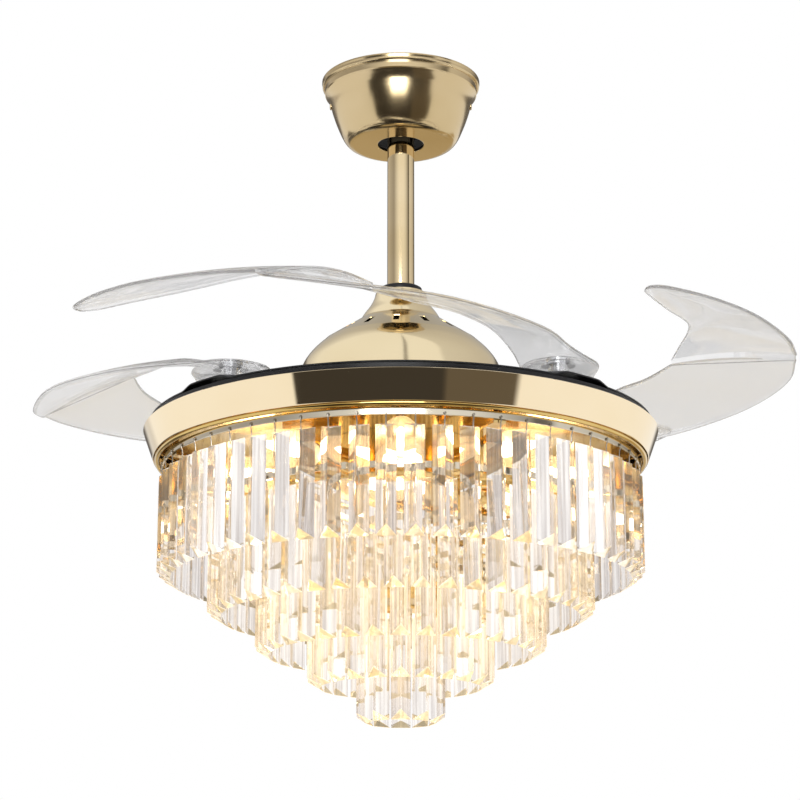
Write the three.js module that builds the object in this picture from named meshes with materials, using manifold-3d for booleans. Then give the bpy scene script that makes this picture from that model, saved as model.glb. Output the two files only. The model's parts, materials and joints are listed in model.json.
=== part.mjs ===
// Chandelier ceiling fan with folding clear blades over five tiers of glass prisms.
// Millimetres, +Z up. The origin is the middle of the hanger bracket's flat top, on the ceiling.
import * as THREE from 'three';
import { mergeVertices } from 'three/addons/utils/BufferGeometryUtils.js';
import Module from 'manifold-3d';

const wasm = await Module();
wasm.setup();

// Shared clearances and overruns
const seatGap = 0.3;
const runningGap = 0.6;
const overrun = 2;

// Facets round a circle
const wideFacets = 36;
const roundFacets = 24;
const hubFacets = 16;
const smallFacets = 12;
const pinFacets = 8;
const ringFacets = 20;

// Canopy
const canopyRadius = 79;
const canopyDepth = 66;
const canopySheet = 1.2;
const canopyHoleRadius = 23;
const canopyOutlineShares = [
  [1, 0], [1, 0.085], [0.966, 0.11], [0.966, 0.2], [0.888, 0.335], [0.86, 0.49], [0.797, 0.7], [0.71, 0.93],
  [0.608, 1],
];
const canopyScrewDepth = 25;
const canopyScrewHeadRadius = 3.6;
const canopyScrewRadius = 2;
const canopyScrewHeadHeight = 2.6;

// Hanger bracket, ball and receiver inside the canopy
const bracketSpan = 116;
const bracketWidth = 24;
const bracketSheet = 2;
const seatDrop = 47;
const seatPlateRadius = 32;
const seatPlateThickness = 2.5;
const seatHoleRadius = 19.5;
const ballRadius = 24;
const ballTopCut = 17;
const ballBottomCut = 19;
const ballPinRadius = 3;
const receiverLength = 56;
const receiverWidth = 26;
const receiverHeight = 20;
const receiverCorner = 4;

// Down rod
const rodRadius = 13.35;
const rodWall = 2;
const rodLength = 244.5;
const rodAboveBall = 18.7;

// Motor dome
const domeClearance = 15.5;
const domeHeight = 131.8;
const domeSheet = 1.5;
const domeMouthClearance = 2.9;
const domeOutlineShares = [
  [0.9549, 0], [1, 0.1214], [0.9974, 0.2276], [0.9626, 0.3338], [0.9124, 0.4249], [0.8119, 0.5083],
  [0.6649, 0.5918], [0.4356, 0.6791], [0.201, 0.7701], [0.1521, 0.8194], [0.0773, 0.8801], [0.0271, 0.9408],
  [0, 1],
];
const ventCount = 14;
const ventWidth = 5;
const ventRun = 14;
const ventDepth = 20;
const ventHeightShare = 0.668;
const ventTurnDeg = 8.9;

// Yoke between rod and motor shaft, with its bolt, nut and cover collar
const rodInDome = 38.8;
const yokeRadius = 20;
const yokeWeb = 5.7;
const yokeSkirt = 21;
const yokeTopUnderDome = 5.8;
const yokeFlange = 3;
const yokeFlangeShare = 0.89;
const yokeFlangeClearance = 0.6;
const yokeBoltRadius = 3;
const yokeBoltHeight = 14;
const yokeBoltHeadRadius = 5;
const yokeBoltHeadHeight = 3.7;
const yokeNutRadius = 5.6;
const yokeNutHeight = 4.6;
const collarRadius = 21;
const collarHeight = 9.7;

// Motor
const shaftRadius = 12.5;
const shaftBore = 5;
const shellRadius = 86;
const shellWall = 3;
const shellHeight = 26;
const bearingRadius = 26;
const bearingHeight = 14.7;
const bearingLip = 4;
const magnetWall = 4.2;
const magnetHeight = 40;
const airGap = 1;
const statorHeight = 32;
const statorTeeth = 9;
const statorHubRadius = 33;
const statorRootRadius = 46;

// Black rotor disc that carries the blades
const discRadius = 250;
const discSheet = 1.5;
const discRimHeight = 4.9;
const discTopHeight = 11.4;
const discBoreRadius = 30;
const plateauInset = 47;
const plateauFootInset = 24;
const coverBoreRadius = 60;
const discWall = 2.5;
const domeRunningGap = 2.5;

// Blade pivots, synchronising gears and return springs inside the disc
const bladeCount = 4;
const pivotInset = 39.4;
const pivotTurnDeg = 222.7;
const bossRadius = 37;
const bossFootRadius = 45;
const pinionTeeth = 12;
const ringTeeth = 72;
const pinionSectorTeeth = 6;
const ringSectorTeeth = 5;
const gearHeight = 4.5;
const gearBacklash = 0.7;
const pressureDeg = 25;
const addendumShare = 0.68;
const dedendumShare = 0.86;
const gearHubRadius = 14;
const pinionBackShare = 0.66;
const ringGearInset = 60.6;
const springRadius = 19;
const springWire = 1.1;
const springPitch = 1.3;
const springTurns = 1.5;
const pivotBoltRadius = 6;
const pivotHeadRadius = 11;
const pivotHeadHeight = 4;
const pivotSocketRadius = 4;
const pivotSocketDepth = 2.5;

// Clear blades: edges as [degrees swept from the pivot, share of reach, share of rise]
const bladeOverhang = 179;
const bladeRise = 61.3;
const bladeSheet = 3.6;
const bladeCamber = 4;
const bladeHubRadius = 36;
const bladeHubHeight = 17;
const bladeHubRound = 3;
const rootOuterShares = [
  [0, 0.64, 0.22], [7, 0.66, 0.27], [17, 0.742, 0.29], [36, 0.8626, 0.386], [52.7, 0.955, 0.455], [60, 0.982, 0.56],
];
const tipOuterShares = [
  [61, 0.985, 0.62], [67, 0.9915, 0.658], [78.1, 0.9868, 0.721], [89, 0.9655, 0.775], [95.6, 0.925, 0.83],
];
const rootInnerShares = [
  [1.1, 0.431, 0.22], [10.4, 0.485, 0.44], [19.4, 0.53, 0.64], [29.3, 0.562, 0.785], [39, 0.613, 0.812],
  [48, 0.67, 0.88],
];
const tipInnerShares = [
  [50, 0.683, 1], [58, 0.7189, 1.12], [69, 0.755, 1.06], [81, 0.7807, 0.9916], [96, 0.893, 0.88],
];
const rootStations = 7;
const tipStations = 7;
const bladeStrips = 2;

// Gold housing ring and pan
const bandInset = 1;
const bandFlare = 11;
const bandHeight = 27.5;
const bandSheet = 1.2;
const bandFlange = 17;
const beadRadius = 2.6;
const panDrop = 7.3;
const panRimInset = 9;
const panRimWidth = 18;
const locknutRadius = 20;
const locknutHeight = 5;

// Lamp drum, holders and candle bulbs
const lampInset = 158.5;
const drumSheet = 1.5;
const drumDrop = 46.7;
const bulbCount = 8;
const bulbTurnDeg = 270;
const bulbAxisDrop = 29;
const holderRadius = 13;
const holderLength = 44;
const holderWall = 2;
const bulbCapRadius = 10.3;
const bulbCapLength = 23;
const bulbRadius = 17.5;
const bulbLength = 88;
const bulbOutlineShares = [[0.56, 0], [0.86, 0.13], [1, 0.32], [0.9, 0.55], [0.55, 0.8], [0.16, 0.97]];

// Prism tiers: ring radius and prism foot as shares of the widest ring and of the drop between first and last
const tierInset = 9.5;
const tierRadiusShares = [1, 0.79, 0.5886, 0.3742, 0.1772];
const tierDrop = 134;
const tierDropShares = [0, 0.269, 0.53, 0.754, 1];
const tierCounts = [56, 45, 34, 22, 10];
const ringDrop = 3.7;
const ringHeight = 6.5;
const ringSheet = 1.5;
const prismBelowRing = 5.8;
const prismLength = 100;
const prismWidth = 19;
const prismDepth = 13.6;
const prismOverRing = 3.5;
const prismTopSlant = 8;
const prismFootSlant = 6;
const hookRadius = 0.7;
const hookBite = 3;
const barWidth = 12;
const barSheet = 2;
const barStep = 1;
const barFoot = 24;
const barTurnDeg = 22.5;

// Radii that follow from the motor's and the disc's
const domeRadius = shellRadius + domeClearance;
const domeMouthRadius = collarRadius + domeMouthClearance;
const plateauRadius = discRadius - plateauInset;
const plateauFootRadius = discRadius - plateauFootInset;
const pivotRadius = discRadius - pivotInset;
const ringGearBore = pivotRadius - ringGearInset;
const bladeReach = pivotRadius + bladeOverhang;
const bandRadius = discRadius - bandInset;
const bandFootRadius = bandRadius - bandFlare;
const panRimRadius = bandRadius - panRimInset;
const panRadius = panRimRadius - panRimWidth;
const tierRadius = bandFootRadius - tierInset;
const drumRadius = tierRadius - lampInset;

// Heights of the hanging parts below the ceiling
const ballDrop = seatDrop - Math.sqrt(ballRadius ** 2 - seatHoleRadius ** 2) - seatGap;
const rodTop = rodAboveBall - ballDrop;
const rodFoot = rodTop - rodLength;

// Heights over the lower edge of the gold band, from which the head is built up
const discFoot = bandHeight + runningGap;
const discRim = discFoot + discRimHeight;
const discTop = discFoot + discTopHeight;
const bladeSeat = discTop + runningGap;
const domeFoot = discTop + domeRunningGap;
const domeTop = domeFoot + domeHeight;
const rodFootInHead = domeTop - rodInDome;
const headHeight = rodFoot - rodFootInHead;
const panTop = bandHeight - panDrop;
const panFoot = panTop - bandSheet;
const shellFoot = discTop + seatGap;

const toRadians = THREE.MathUtils.degToRad;

// Radius of a faceted hole whose flats clear a shank that turns in it
function turningHole(shank, facets) {
  return (shank + seatGap) / Math.cos(Math.PI / facets);
}

// Turns a closed geometry into a solid that can be cut and joined
function solidOf(geometry) {
  const bare = geometry.index ? geometry.toNonIndexed() : geometry.clone();
  bare.deleteAttribute('normal');
  bare.deleteAttribute('uv');
  const welded = mergeVertices(bare);
  const corners = welded.index.array;
  const kept = [];
  for (let i = 0; i < corners.length; i += 3) {
    const [a, b, c] = corners.slice(i, i + 3);
    if (a !== b && b !== c && c !== a) kept.push(a, b, c);
  }
  const mesh = new wasm.Mesh({
    numProp: 3,
    vertProperties: new Float32Array(welded.attributes.position.array),
    triVerts: new Uint32Array(kept),
  });
  return new wasm.Manifold(mesh);
}

// Gives a solid back as a geometry that a mesh can hold
function geometryOf(solid) {
  const mesh = solid.getMesh();
  const geometry = new THREE.BufferGeometry();
  geometry.setAttribute('position', new THREE.BufferAttribute(new Float32Array(mesh.vertProperties), 3));
  geometry.setIndex(new THREE.BufferAttribute(new Uint32Array(mesh.triVerts), 1));
  geometry.computeVertexNormals();
  return geometry;
}

function signedArea(points) {
  let area = 0;
  points.forEach(([x, y], i) => {
    const [nextX, nextY] = points[(i + 1) % points.length];
    area += x * nextY - nextX * y;
  });
  return area;
}

// Solid of revolution about Z from a closed [radius, height] outline
function turned(outline, facets) {
  const points = signedArea(outline) < 0 ? [...outline].reverse() : [...outline];
  points.push(points[0]);
  const lathe = new THREE.LatheGeometry(points.map(([r, z]) => new THREE.Vector2(r, z)), facets);
  return solidOf(lathe.rotateX(Math.PI / 2));
}

function cylinder(radius, low, high, facets, x = 0, y = 0) {
  const geometry = new THREE.CylinderGeometry(radius, radius, high - low, facets);
  return solidOf(geometry.rotateX(Math.PI / 2).translate(x, y, (low + high) / 2));
}

function ring(inner, outer, low, high, facets) {
  return turned([[inner, low], [outer, low], [outer, high], [inner, high]], facets);
}

// Cylinder lying along +X from one place to another
function rodAlongX(radius, from, to, height, facets) {
  const geometry = new THREE.CylinderGeometry(radius, radius, to - from, facets);
  return solidOf(geometry.rotateZ(-Math.PI / 2).translate((from + to) / 2, 0, height));
}

function block(width, depth, height, x, y, low) {
  return solidOf(new THREE.BoxGeometry(width, depth, height).translate(x, y, low + height / 2));
}

// Upright prism of a flat outline, with round or shaped holes
function extruded(points, low, high, holes = []) {
  const shape = new THREE.Shape(points.map(([x, y]) => new THREE.Vector2(x, y)));
  for (const hole of holes) shape.holes.push(new THREE.Path(hole.map(([x, y]) => new THREE.Vector2(x, y))));
  const geometry = new THREE.ExtrudeGeometry(shape, { depth: high - low, bevelEnabled: false });
  return solidOf(geometry.translate(0, 0, low));
}

function circlePoints(radius, facets) {
  return Array.from({ length: facets }, (_, i) => {
    const turn = (2 * Math.PI * i) / facets;
    return [radius * Math.cos(turn), radius * Math.sin(turn)];
  });
}

function aboutZ(solid, degrees) {
  return solid.rotate([0, 0, degrees]);
}

function unionOf(solids) {
  return solids.reduce((sum, solid) => sum.add(solid));
}

// Moves an open [radius, height] line inwards by a sheet thickness
function insetLine(line, sheet) {
  return line.map((point, i) => {
    const before = line[Math.max(i - 1, 0)];
    const after = line[Math.min(i + 1, line.length - 1)];
    const along = [after[0] - before[0], after[1] - before[1]];
    const share = sheet / Math.hypot(...along);
    return [point[0] - Math.abs(along[1]) * share, point[1] - Math.abs(along[0]) * share];
  });
}

function radiusOnLine(line, height) {
  const i = line.findIndex(([, z], n) => n > 0 && (z - height) * (line[n - 1][1] - height) <= 0);
  const [[r0, z0], [r1, z1]] = [line[i - 1], line[i]];
  return r0 + ((r1 - r0) * (height - z0)) / (z1 - z0);
}

const finishes = {
  gold: { color: 0xd9bf8c, roughness: 0.22, metalness: 1 },
  steel: { color: 0xb9bcc0, roughness: 0.35, metalness: 1 },
  iron: { color: 0x4a4c50, roughness: 0.6, metalness: 0.8 },
  black: { color: 0x17181a, roughness: 0.4, metalness: 0.2 },
  white: { color: 0xe9e7e2, roughness: 0.55, metalness: 0 },
  magnet: { color: 0x2c2d30, roughness: 0.5, metalness: 0.6 },
  clear: { color: 0xf2f5f6, roughness: 0.05, metalness: 0, transparent: true, opacity: 0.35 },
  prism: { color: 0xfaf6ea, roughness: 0.03, metalness: 0, transparent: true, opacity: 0.5 },
  lamp: { color: 0xfff1cf, roughness: 0.3, metalness: 0 },
};

function piece(name, solid, finish) {
  const mesh = new THREE.Mesh(geometryOf(solid), new THREE.MeshStandardMaterial(finishes[finish]));
  mesh.name = name;
  return mesh;
}

// Hole along X that both canopy screws pass through
function canopyScrewHole() {
  const radius = canopyScrewRadius + seatGap;
  return rodAlongX(radius, -canopyRadius, canopyRadius, -canopyScrewDepth, pinFacets);
}

// Ceiling group: bracket, canopy, its screws and the receiver
function makeCanopy() {
  const outer = canopyOutlineShares.map(([r, d]) => [r * canopyRadius, -d * canopyDepth]);
  outer.push([canopyHoleRadius, -canopyDepth]);
  const inner = outer.map(([r, z], i) => {
    if (i < 2) return [r - canopySheet, z];
    const lift = canopySheet * (z < -canopyDepth * 0.6 ? 1 : 0.4);
    return [Math.max(r - canopySheet, canopyHoleRadius), z + lift];
  });
  const shell = turned([...outer, ...inner.reverse()], roundFacets);
  return shell.subtract(canopyScrewHole());
}

function makeBracket() {
  const half = bracketSpan / 2;
  const plate = block(bracketSpan, bracketWidth, bracketSheet, 0, 0, -bracketSheet);
  const legHeight = seatDrop + seatPlateThickness;
  const seatBar = block(bracketSpan, bracketWidth, seatPlateThickness, 0, 0, -legHeight);
  const seatPlate = cylinder(seatPlateRadius, -legHeight, -seatDrop, roundFacets);
  const legs = [-1, 1].map((side) => {
    return block(bracketSheet, bracketWidth, legHeight, side * (half - bracketSheet / 2), 0, -legHeight);
  });
  const shelf = block(receiverLength * 0.5, receiverWidth, bracketSheet, 0, bracketWidth, -bracketSheet);
  const seatHole = cylinder(seatHoleRadius, -legHeight - overrun, -seatDrop + overrun, roundFacets);
  const slots = [-1, 1].map((side) => {
    const slotRadius = ballPinRadius;
    return cylinder(slotRadius, -bracketSheet - overrun, overrun, pinFacets, side * half * 0.6, 0);
  });
  return unionOf([plate, seatBar, seatPlate, shelf, ...legs])
    .subtract(seatHole)
    .subtract(unionOf(slots))
    .subtract(canopyScrewHole());
}

function makeCanopyScrew() {
  const outer = canopyOutlineShares.map(([r, d]) => [r * canopyRadius, -d * canopyDepth]);
  const wall = radiusOnLine(outer, -canopyScrewDepth + canopyScrewHeadRadius);
  const headFrom = wall + seatGap;
  const tip = bracketSpan / 2 - bracketSheet * 2;
  const shank = rodAlongX(canopyScrewRadius, tip, headFrom + seatGap, -canopyScrewDepth, pinFacets);
  const headTo = headFrom + canopyScrewHeadHeight;
  const head = rodAlongX(canopyScrewHeadRadius, headFrom, headTo, -canopyScrewDepth, pinFacets);
  return shank.add(head);
}

function makeReceiver() {
  const halfX = receiverLength / 2 - receiverCorner;
  const halfY = receiverWidth / 2 - receiverCorner;
  const corners = [[halfX, halfY, 0], [-halfX, halfY, 1], [-halfX, -halfY, 2], [halfX, -halfY, 3]];
  const points = corners.flatMap(([x, y, quarter]) => [0, 0.5, 1].map((step) => {
    const turn = ((quarter + step) * Math.PI) / 2;
    return [x + receiverCorner * Math.cos(turn), y + receiverCorner * Math.sin(turn)];
  }));
  const top = -bracketSheet - seatGap;
  const box = extruded(points, top - receiverHeight, top);
  return box.translate([0, ballRadius + receiverWidth / 2 + overrun, 0]);
}

// Hanging group: ball, pin, rod
function makeBall() {
  const outline = [];
  const steps = 5;
  const topTurn = Math.asin(ballTopCut / ballRadius);
  const footTurn = -Math.asin(ballBottomCut / ballRadius);
  for (let i = 0; i <= steps; i += 1) {
    const turn = footTurn + ((topTurn - footTurn) * i) / steps;
    outline.push([ballRadius * Math.cos(turn), ballRadius * Math.sin(turn)]);
  }
  const bore = rodRadius + seatGap;
  const ball = turned([[bore, -ballBottomCut], ...outline, [bore, ballTopCut]], smallFacets);
  return ball
    .subtract(rodAlongX(ballPinRadius + seatGap, -ballRadius - overrun, ballRadius + overrun, 0, pinFacets))
    .translate([0, 0, -ballDrop]);
}

function makeBallPin() {
  const reach = Math.sqrt(ballRadius ** 2 - ballPinRadius ** 2) - seatGap;
  return rodAlongX(ballPinRadius, -reach, reach, -ballDrop, pinFacets);
}

function makeRod() {
  const pipe = ring(rodRadius - rodWall, rodRadius, rodFoot, rodTop, smallFacets);
  const pinHole = rodAlongX(ballPinRadius + seatGap, -ballRadius, ballRadius, -ballDrop, pinFacets);
  const boltHeight = rodFoot + yokeBoltHeight;
  const boltHole = rodAlongX(yokeBoltRadius + seatGap, -ballRadius, ballRadius, boltHeight, pinFacets);
  return pipe.subtract(pinHole).subtract(boltHole);
}

// Head group, in heights over the band's lower edge
const domeLine = domeOutlineShares.map(([r, h]) => {
  const radius = domeMouthRadius + r * (domeRadius - domeMouthRadius);
  return [radius, domeFoot + h * domeHeight];
});
const domeInnerLine = insetLine(domeLine, domeSheet);

function makeDome() {
  const inner = domeInnerLine.map(([r, z], i) => [r, i === 0 ? domeFoot : z]);
  inner[inner.length - 1][1] = domeTop;
  const shell = turned([...domeLine, ...inner.reverse()], roundFacets);
  const ventZ = domeFoot + ventHeightShare * domeHeight;
  const ventR = radiusOnLine(domeLine, ventZ);
  const vents = Array.from({ length: ventCount }, (_, i) => {
    const slot = block(ventRun, ventWidth, ventDepth, ventR, 0, ventZ - ventDepth / 2);
    return aboutZ(slot, ventTurnDeg + (360 * i) / ventCount);
  });
  return shell.subtract(unionOf(vents));
}

const yokeTop = domeTop - yokeTopUnderDome;
const yokeWebTop = rodFootInHead - seatGap;
const yokeFoot = yokeWebTop - yokeWeb - yokeSkirt;
const boltZ = rodFootInHead + yokeBoltHeight;

function makeYoke() {
  const flangeTop = domeFoot + yokeFlangeShare * domeHeight;
  const flangeRadius = radiusOnLine(domeInnerLine, flangeTop) - yokeFlangeClearance;
  const rodBore = rodRadius + seatGap;
  const shaftHole = shaftRadius + seatGap;
  const body = turned([
    [shaftHole, yokeFoot], [yokeRadius, yokeFoot], [yokeRadius, flangeTop - yokeFlange],
    [flangeRadius, flangeTop - yokeFlange], [flangeRadius, flangeTop], [yokeRadius, flangeTop],
    [yokeRadius, yokeTop], [rodBore, yokeTop], [rodBore, yokeWebTop], [shaftBore, yokeWebTop],
    [shaftBore, yokeWebTop - yokeWeb], [shaftHole, yokeWebTop - yokeWeb],
  ], smallFacets);
  return body.subtract(rodAlongX(yokeBoltRadius + seatGap, -domeRadius, domeRadius, boltZ, pinFacets));
}

function makeYokeBolt() {
  const headFrom = yokeRadius + seatGap;
  const tail = -(yokeRadius + seatGap + yokeNutHeight + yokeBoltRadius);
  const shank = rodAlongX(yokeBoltRadius, tail, headFrom + seatGap, boltZ, pinFacets);
  return shank.add(rodAlongX(yokeBoltHeadRadius, headFrom, headFrom + yokeBoltHeadHeight, boltZ, 6));
}

function makeYokeNut() {
  const near = -yokeRadius - seatGap;
  const far = near - yokeNutHeight;
  const nut = rodAlongX(yokeNutRadius, far, near, boltZ, 6);
  const bore = rodAlongX(yokeBoltRadius + seatGap, far - overrun, near + overrun, boltZ, pinFacets);
  return nut.subtract(bore);
}

function makeCollar() {
  const foot = yokeTop + seatGap;
  const top = foot + collarHeight;
  const bore = rodRadius + seatGap;
  const chamfer = bandSheet;
  return turned([
    [bore, foot], [collarRadius, foot], [collarRadius, top - chamfer * 2], [collarRadius - chamfer, top],
    [bore, top],
  ], smallFacets);
}

function makeShaft() {
  const foot = panFoot - seatGap - locknutHeight - seatGap;
  const top = yokeWebTop - yokeWeb - seatGap;
  return ring(shaftBore, shaftRadius, foot, top, smallFacets);
}

const shellSplit = shellFoot + shellHeight;
const shellTop = shellSplit + seatGap + shellHeight;
const lipRadius = bearingRadius - bearingLip;
const cupRadius = bearingRadius + seatGap;
const cupWall = shellWall;

// Half of the motor's turning shell, with the bearing's cup standing inwards
function shellOutline(low, towards) {
  const at = (offset) => low + towards * offset;
  const lip = shellWall - seatGap;
  return [
    [lipRadius, at(0)], [shellRadius, at(0)], [shellRadius, at(shellHeight)],
    [shellRadius - shellWall, at(shellHeight)], [shellRadius - shellWall, at(shellWall)],
    [cupRadius + cupWall, at(shellWall)], [cupRadius + cupWall, at(lip + seatGap + bearingHeight)],
    [cupRadius, at(lip + seatGap + bearingHeight)], [cupRadius, at(lip)], [lipRadius, at(lip)],
  ];
}

function makeBearing(low, towards) {
  const from = low + towards * shellWall;
  const to = from + towards * bearingHeight;
  const bore = turningHole(shaftRadius, smallFacets);
  return ring(bore, bearingRadius, Math.min(from, to), Math.max(from, to), smallFacets);
}

function makeMagnet() {
  const outer = shellRadius - shellWall - seatGap;
  const middle = (shellFoot + shellTop) / 2;
  return ring(outer - magnetWall, outer, middle - magnetHeight / 2, middle + magnetHeight / 2, roundFacets);
}

function makeStator() {
  const middle = (shellFoot + shellTop) / 2;
  const tip = shellRadius - shellWall - seatGap - magnetWall - airGap;
  const pitch = (2 * Math.PI) / statorTeeth;
  const points = [];
  for (let i = 0; i < statorTeeth; i += 1) {
    const places = [[statorRootRadius, -0.2], [tip * 0.9, -0.16], [tip, -0.42]];
    const tooth = [...places, ...places.slice().reverse().map(([r, share]) => [r, -share])];
    for (const [r, share] of tooth) {
      const turn = pitch * (i + share);
      points.push([r * Math.cos(turn), r * Math.sin(turn)]);
    }
  }
  const bore = circlePoints(cupRadius + cupWall + airGap, roundFacets);
  const star = extruded(points, middle - statorHeight / 2, middle + statorHeight / 2, [bore]);
  const cupEnd = shellWall + bearingHeight + airGap;
  const shaftHole = shaftRadius + seatGap;
  const hub = ring(shaftHole, statorHubRadius, shellFoot + cupEnd, shellTop - cupEnd, smallFacets);
  return star.add(hub);
}

// Pivot of each blade seen from the fan's axis
const pivotTurn = toRadians(pivotTurnDeg);
const pivotX = pivotRadius * Math.cos(pivotTurn);
const pivotY = pivotRadius * Math.sin(pivotTurn);
const quarterTurns = Array.from({ length: bladeCount }, (_, i) => (360 * i) / bladeCount);
const boltHoleRadius = turningHole(pivotBoltRadius, pinFacets);

function makeDisc() {
  const plateTop = discFoot + discSheet;
  const rimTop = discRim - discSheet - seatGap;
  const coverUnderside = discTop - discSheet - seatGap;
  const guide = (ringGearBore - seatGap) * Math.cos(Math.PI / wideFacets);
  const guideTop = plateTop + seatGap + gearHeight;
  const tray = turned([
    [discBoreRadius, discFoot], [discRadius, discFoot], [discRadius, rimTop], [discRadius - discWall, rimTop],
    [discRadius - discWall, plateTop], [guide, plateTop], [guide, guideTop], [guide - discWall, guideTop],
    [guide - discWall, plateTop], [coverBoreRadius + discWall, plateTop],
    [coverBoreRadius + discWall, coverUnderside], [coverBoreRadius, coverUnderside],
    [coverBoreRadius, plateTop], [discBoreRadius, plateTop],
  ], wideFacets);
  const hole = cylinder(boltHoleRadius, discFoot - overrun, plateTop + overrun, pinFacets, pivotX, pivotY);
  return tray.subtract(unionOf(quarterTurns.map((turn) => aboutZ(hole, turn))));
}

function makeCover() {
  const rimUnderside = discRim - discSheet;
  const coneOf = (foot, top, low, high) => {
    const geometry = new THREE.CylinderGeometry(top, foot, high - low, hubFacets);
    return solidOf(geometry.rotateX(Math.PI / 2).translate(pivotX, pivotY, (low + high) / 2));
  };
  const topSkin = turned([
    [coverBoreRadius, rimUnderside], [discRadius, rimUnderside], [discRadius, discRim],
    [plateauFootRadius, discRim], [plateauRadius, discTop], [coverBoreRadius, discTop],
  ], wideFacets);
  const boss = coneOf(bossFootRadius, bossRadius, rimUnderside, discTop);
  const bosses = unionOf(quarterTurns.map((turn) => aboutZ(boss, turn)));
  const limit = cylinder(discRadius, rimUnderside - overrun, discTop + overrun, wideFacets);
  const underside = discTop - discSheet;
  const hollow = turned([
    [coverBoreRadius - overrun, rimUnderside - overrun],
    [plateauFootRadius - discSheet, rimUnderside - overrun], [plateauFootRadius - discSheet, rimUnderside],
    [plateauRadius - discSheet, underside], [coverBoreRadius - overrun, underside],
  ], wideFacets);
  const hollowRadius = bossRadius - discSheet;
  const bossHollow = coneOf(hollowRadius, hollowRadius, rimUnderside - overrun, underside);
  const sleeveRoom = turningHole(gearHubRadius, smallFacets);
  const sleeveHole = cylinder(sleeveRoom, rimUnderside, discTop + overrun, smallFacets, pivotX, pivotY);
  const cuts = [hollow];
  for (const turn of quarterTurns) cuts.push(aboutZ(bossHollow, turn), aboutZ(sleeveHole, turn));
  return topSkin.add(bosses.intersect(limit)).subtract(unionOf(cuts));
}

// Involute gearing: a ring on the axis meshes with a sector on each blade's sleeve
const gearModule = (2 * pivotRadius) / (pinionTeeth + ringTeeth);
const gearFoot = discFoot + discSheet + seatGap;
const gearTop = gearFoot + gearHeight;
const involute = (angle) => Math.tan(angle) - angle;

// Flank corners of one tooth as [radius, half angle], from root to tip
function toothFlank(teeth) {
  const pitchRadius = (gearModule * teeth) / 2;
  const baseRadius = pitchRadius * Math.cos(toRadians(pressureDeg));
  const rootRadius = pitchRadius - dedendumShare * gearModule;
  const tipRadius = pitchRadius + addendumShare * gearModule;
  const halfAtPitch = Math.PI / (2 * teeth) - gearBacklash / (4 * pitchRadius);
  const halfAt = (radius) => {
    const roll = Math.acos(Math.min(1, baseRadius / radius));
    return halfAtPitch + involute(toRadians(pressureDeg)) - involute(roll);
  };
  return [rootRadius, pitchRadius, tipRadius].map((radius) => [radius, halfAt(Math.max(radius, baseRadius))]);
}

// Outline of a run of teeth centred on a turn, in order of rising angle
function toothRun(teeth, count, centreTurn, phase) {
  const pitch = (2 * Math.PI) / teeth;
  const flank = toothFlank(teeth);
  const points = [];
  for (let i = 0; i < count; i += 1) {
    const middle = centreTurn + (i - (count - 1) / 2 + phase) * pitch;
    const rising = flank.map(([r, half]) => [r, middle - half]);
    const falling = flank.map(([r, half]) => [r, middle + half]).reverse();
    for (const [r, turn] of [...rising, ...falling]) points.push([r * Math.cos(turn), r * Math.sin(turn)]);
  }
  return points;
}

function makeSyncRing() {
  const rootRadius = toothFlank(ringTeeth)[0][0];
  const outline = [];
  const runHalf = ((ringSectorTeeth / 2) * 2 * Math.PI) / ringTeeth;
  for (let quarter = 0; quarter < bladeCount; quarter += 1) {
    const centre = pivotTurn + (2 * Math.PI * quarter) / bladeCount;
    outline.push(...toothRun(ringTeeth, ringSectorTeeth, centre, 0));
    const gapFrom = centre + runHalf;
    const gapTo = centre + (2 * Math.PI) / bladeCount - runHalf;
    for (let step = 1; step < 6; step += 1) {
      const turn = gapFrom + ((gapTo - gapFrom) * step) / 6;
      outline.push([rootRadius * Math.cos(turn), rootRadius * Math.sin(turn)]);
    }
  }
  return extruded(outline, gearFoot, gearTop, [circlePoints(ringGearBore, wideFacets)]);
}

// Sector gear on the blade's sleeve, in the pivot's own frame with the fan's axis towards -X
function makeSectorGear() {
  const back = pinionBackShare * toothFlank(pinionTeeth)[0][0];
  const outline = toothRun(pinionTeeth, pinionSectorTeeth, Math.PI, 0.5 - ((pinionSectorTeeth - 1) / 2) % 1);
  for (let step = 1; step < 8; step += 1) {
    const turn = -Math.PI / 2 + (Math.PI * step) / 8;
    outline.push([back * Math.cos(turn), back * Math.sin(turn)]);
  }
  const sector = extruded(outline, gearFoot, gearTop);
  const sleeve = cylinder(gearHubRadius, gearFoot, bladeSeat - seatGap, smallFacets);
  const bore = cylinder(boltHoleRadius, gearFoot - overrun, bladeSeat + overrun, pinFacets);
  return sector.add(sleeve).subtract(bore);
}

function makeSpring() {
  const steps = Math.round(springTurns * 8);
  const low = gearTop + seatGap + springWire / 2;
  const points = Array.from({ length: steps + 1 }, (_, i) => {
    const turns = (springTurns * i) / steps;
    const turn = 2 * Math.PI * turns;
    const height = low + springPitch * turns;
    return new THREE.Vector3(springRadius * Math.cos(turn), springRadius * Math.sin(turn), height);
  });
  const section = circlePoints(springWire / 2, 4);
  const wire = new THREE.Shape(section.map(([x, y]) => new THREE.Vector2(x, y)));
  const path = new THREE.CatmullRomCurve3(points);
  return solidOf(new THREE.ExtrudeGeometry(wire, { steps, bevelEnabled: false, extrudePath: path }));
}

function makePivotBolt() {
  const headFoot = bladeSeat + bladeHubHeight + seatGap;
  const shank = cylinder(pivotBoltRadius, discFoot, headFoot + seatGap, pinFacets);
  const headTop = headFoot + pivotHeadHeight;
  const head = cylinder(pivotHeadRadius, headFoot, headTop, smallFacets);
  const socket = cylinder(pivotSocketRadius, headTop - pivotSocketDepth, headTop + overrun, 6);
  return shank.add(head).subtract(socket);
}

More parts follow.
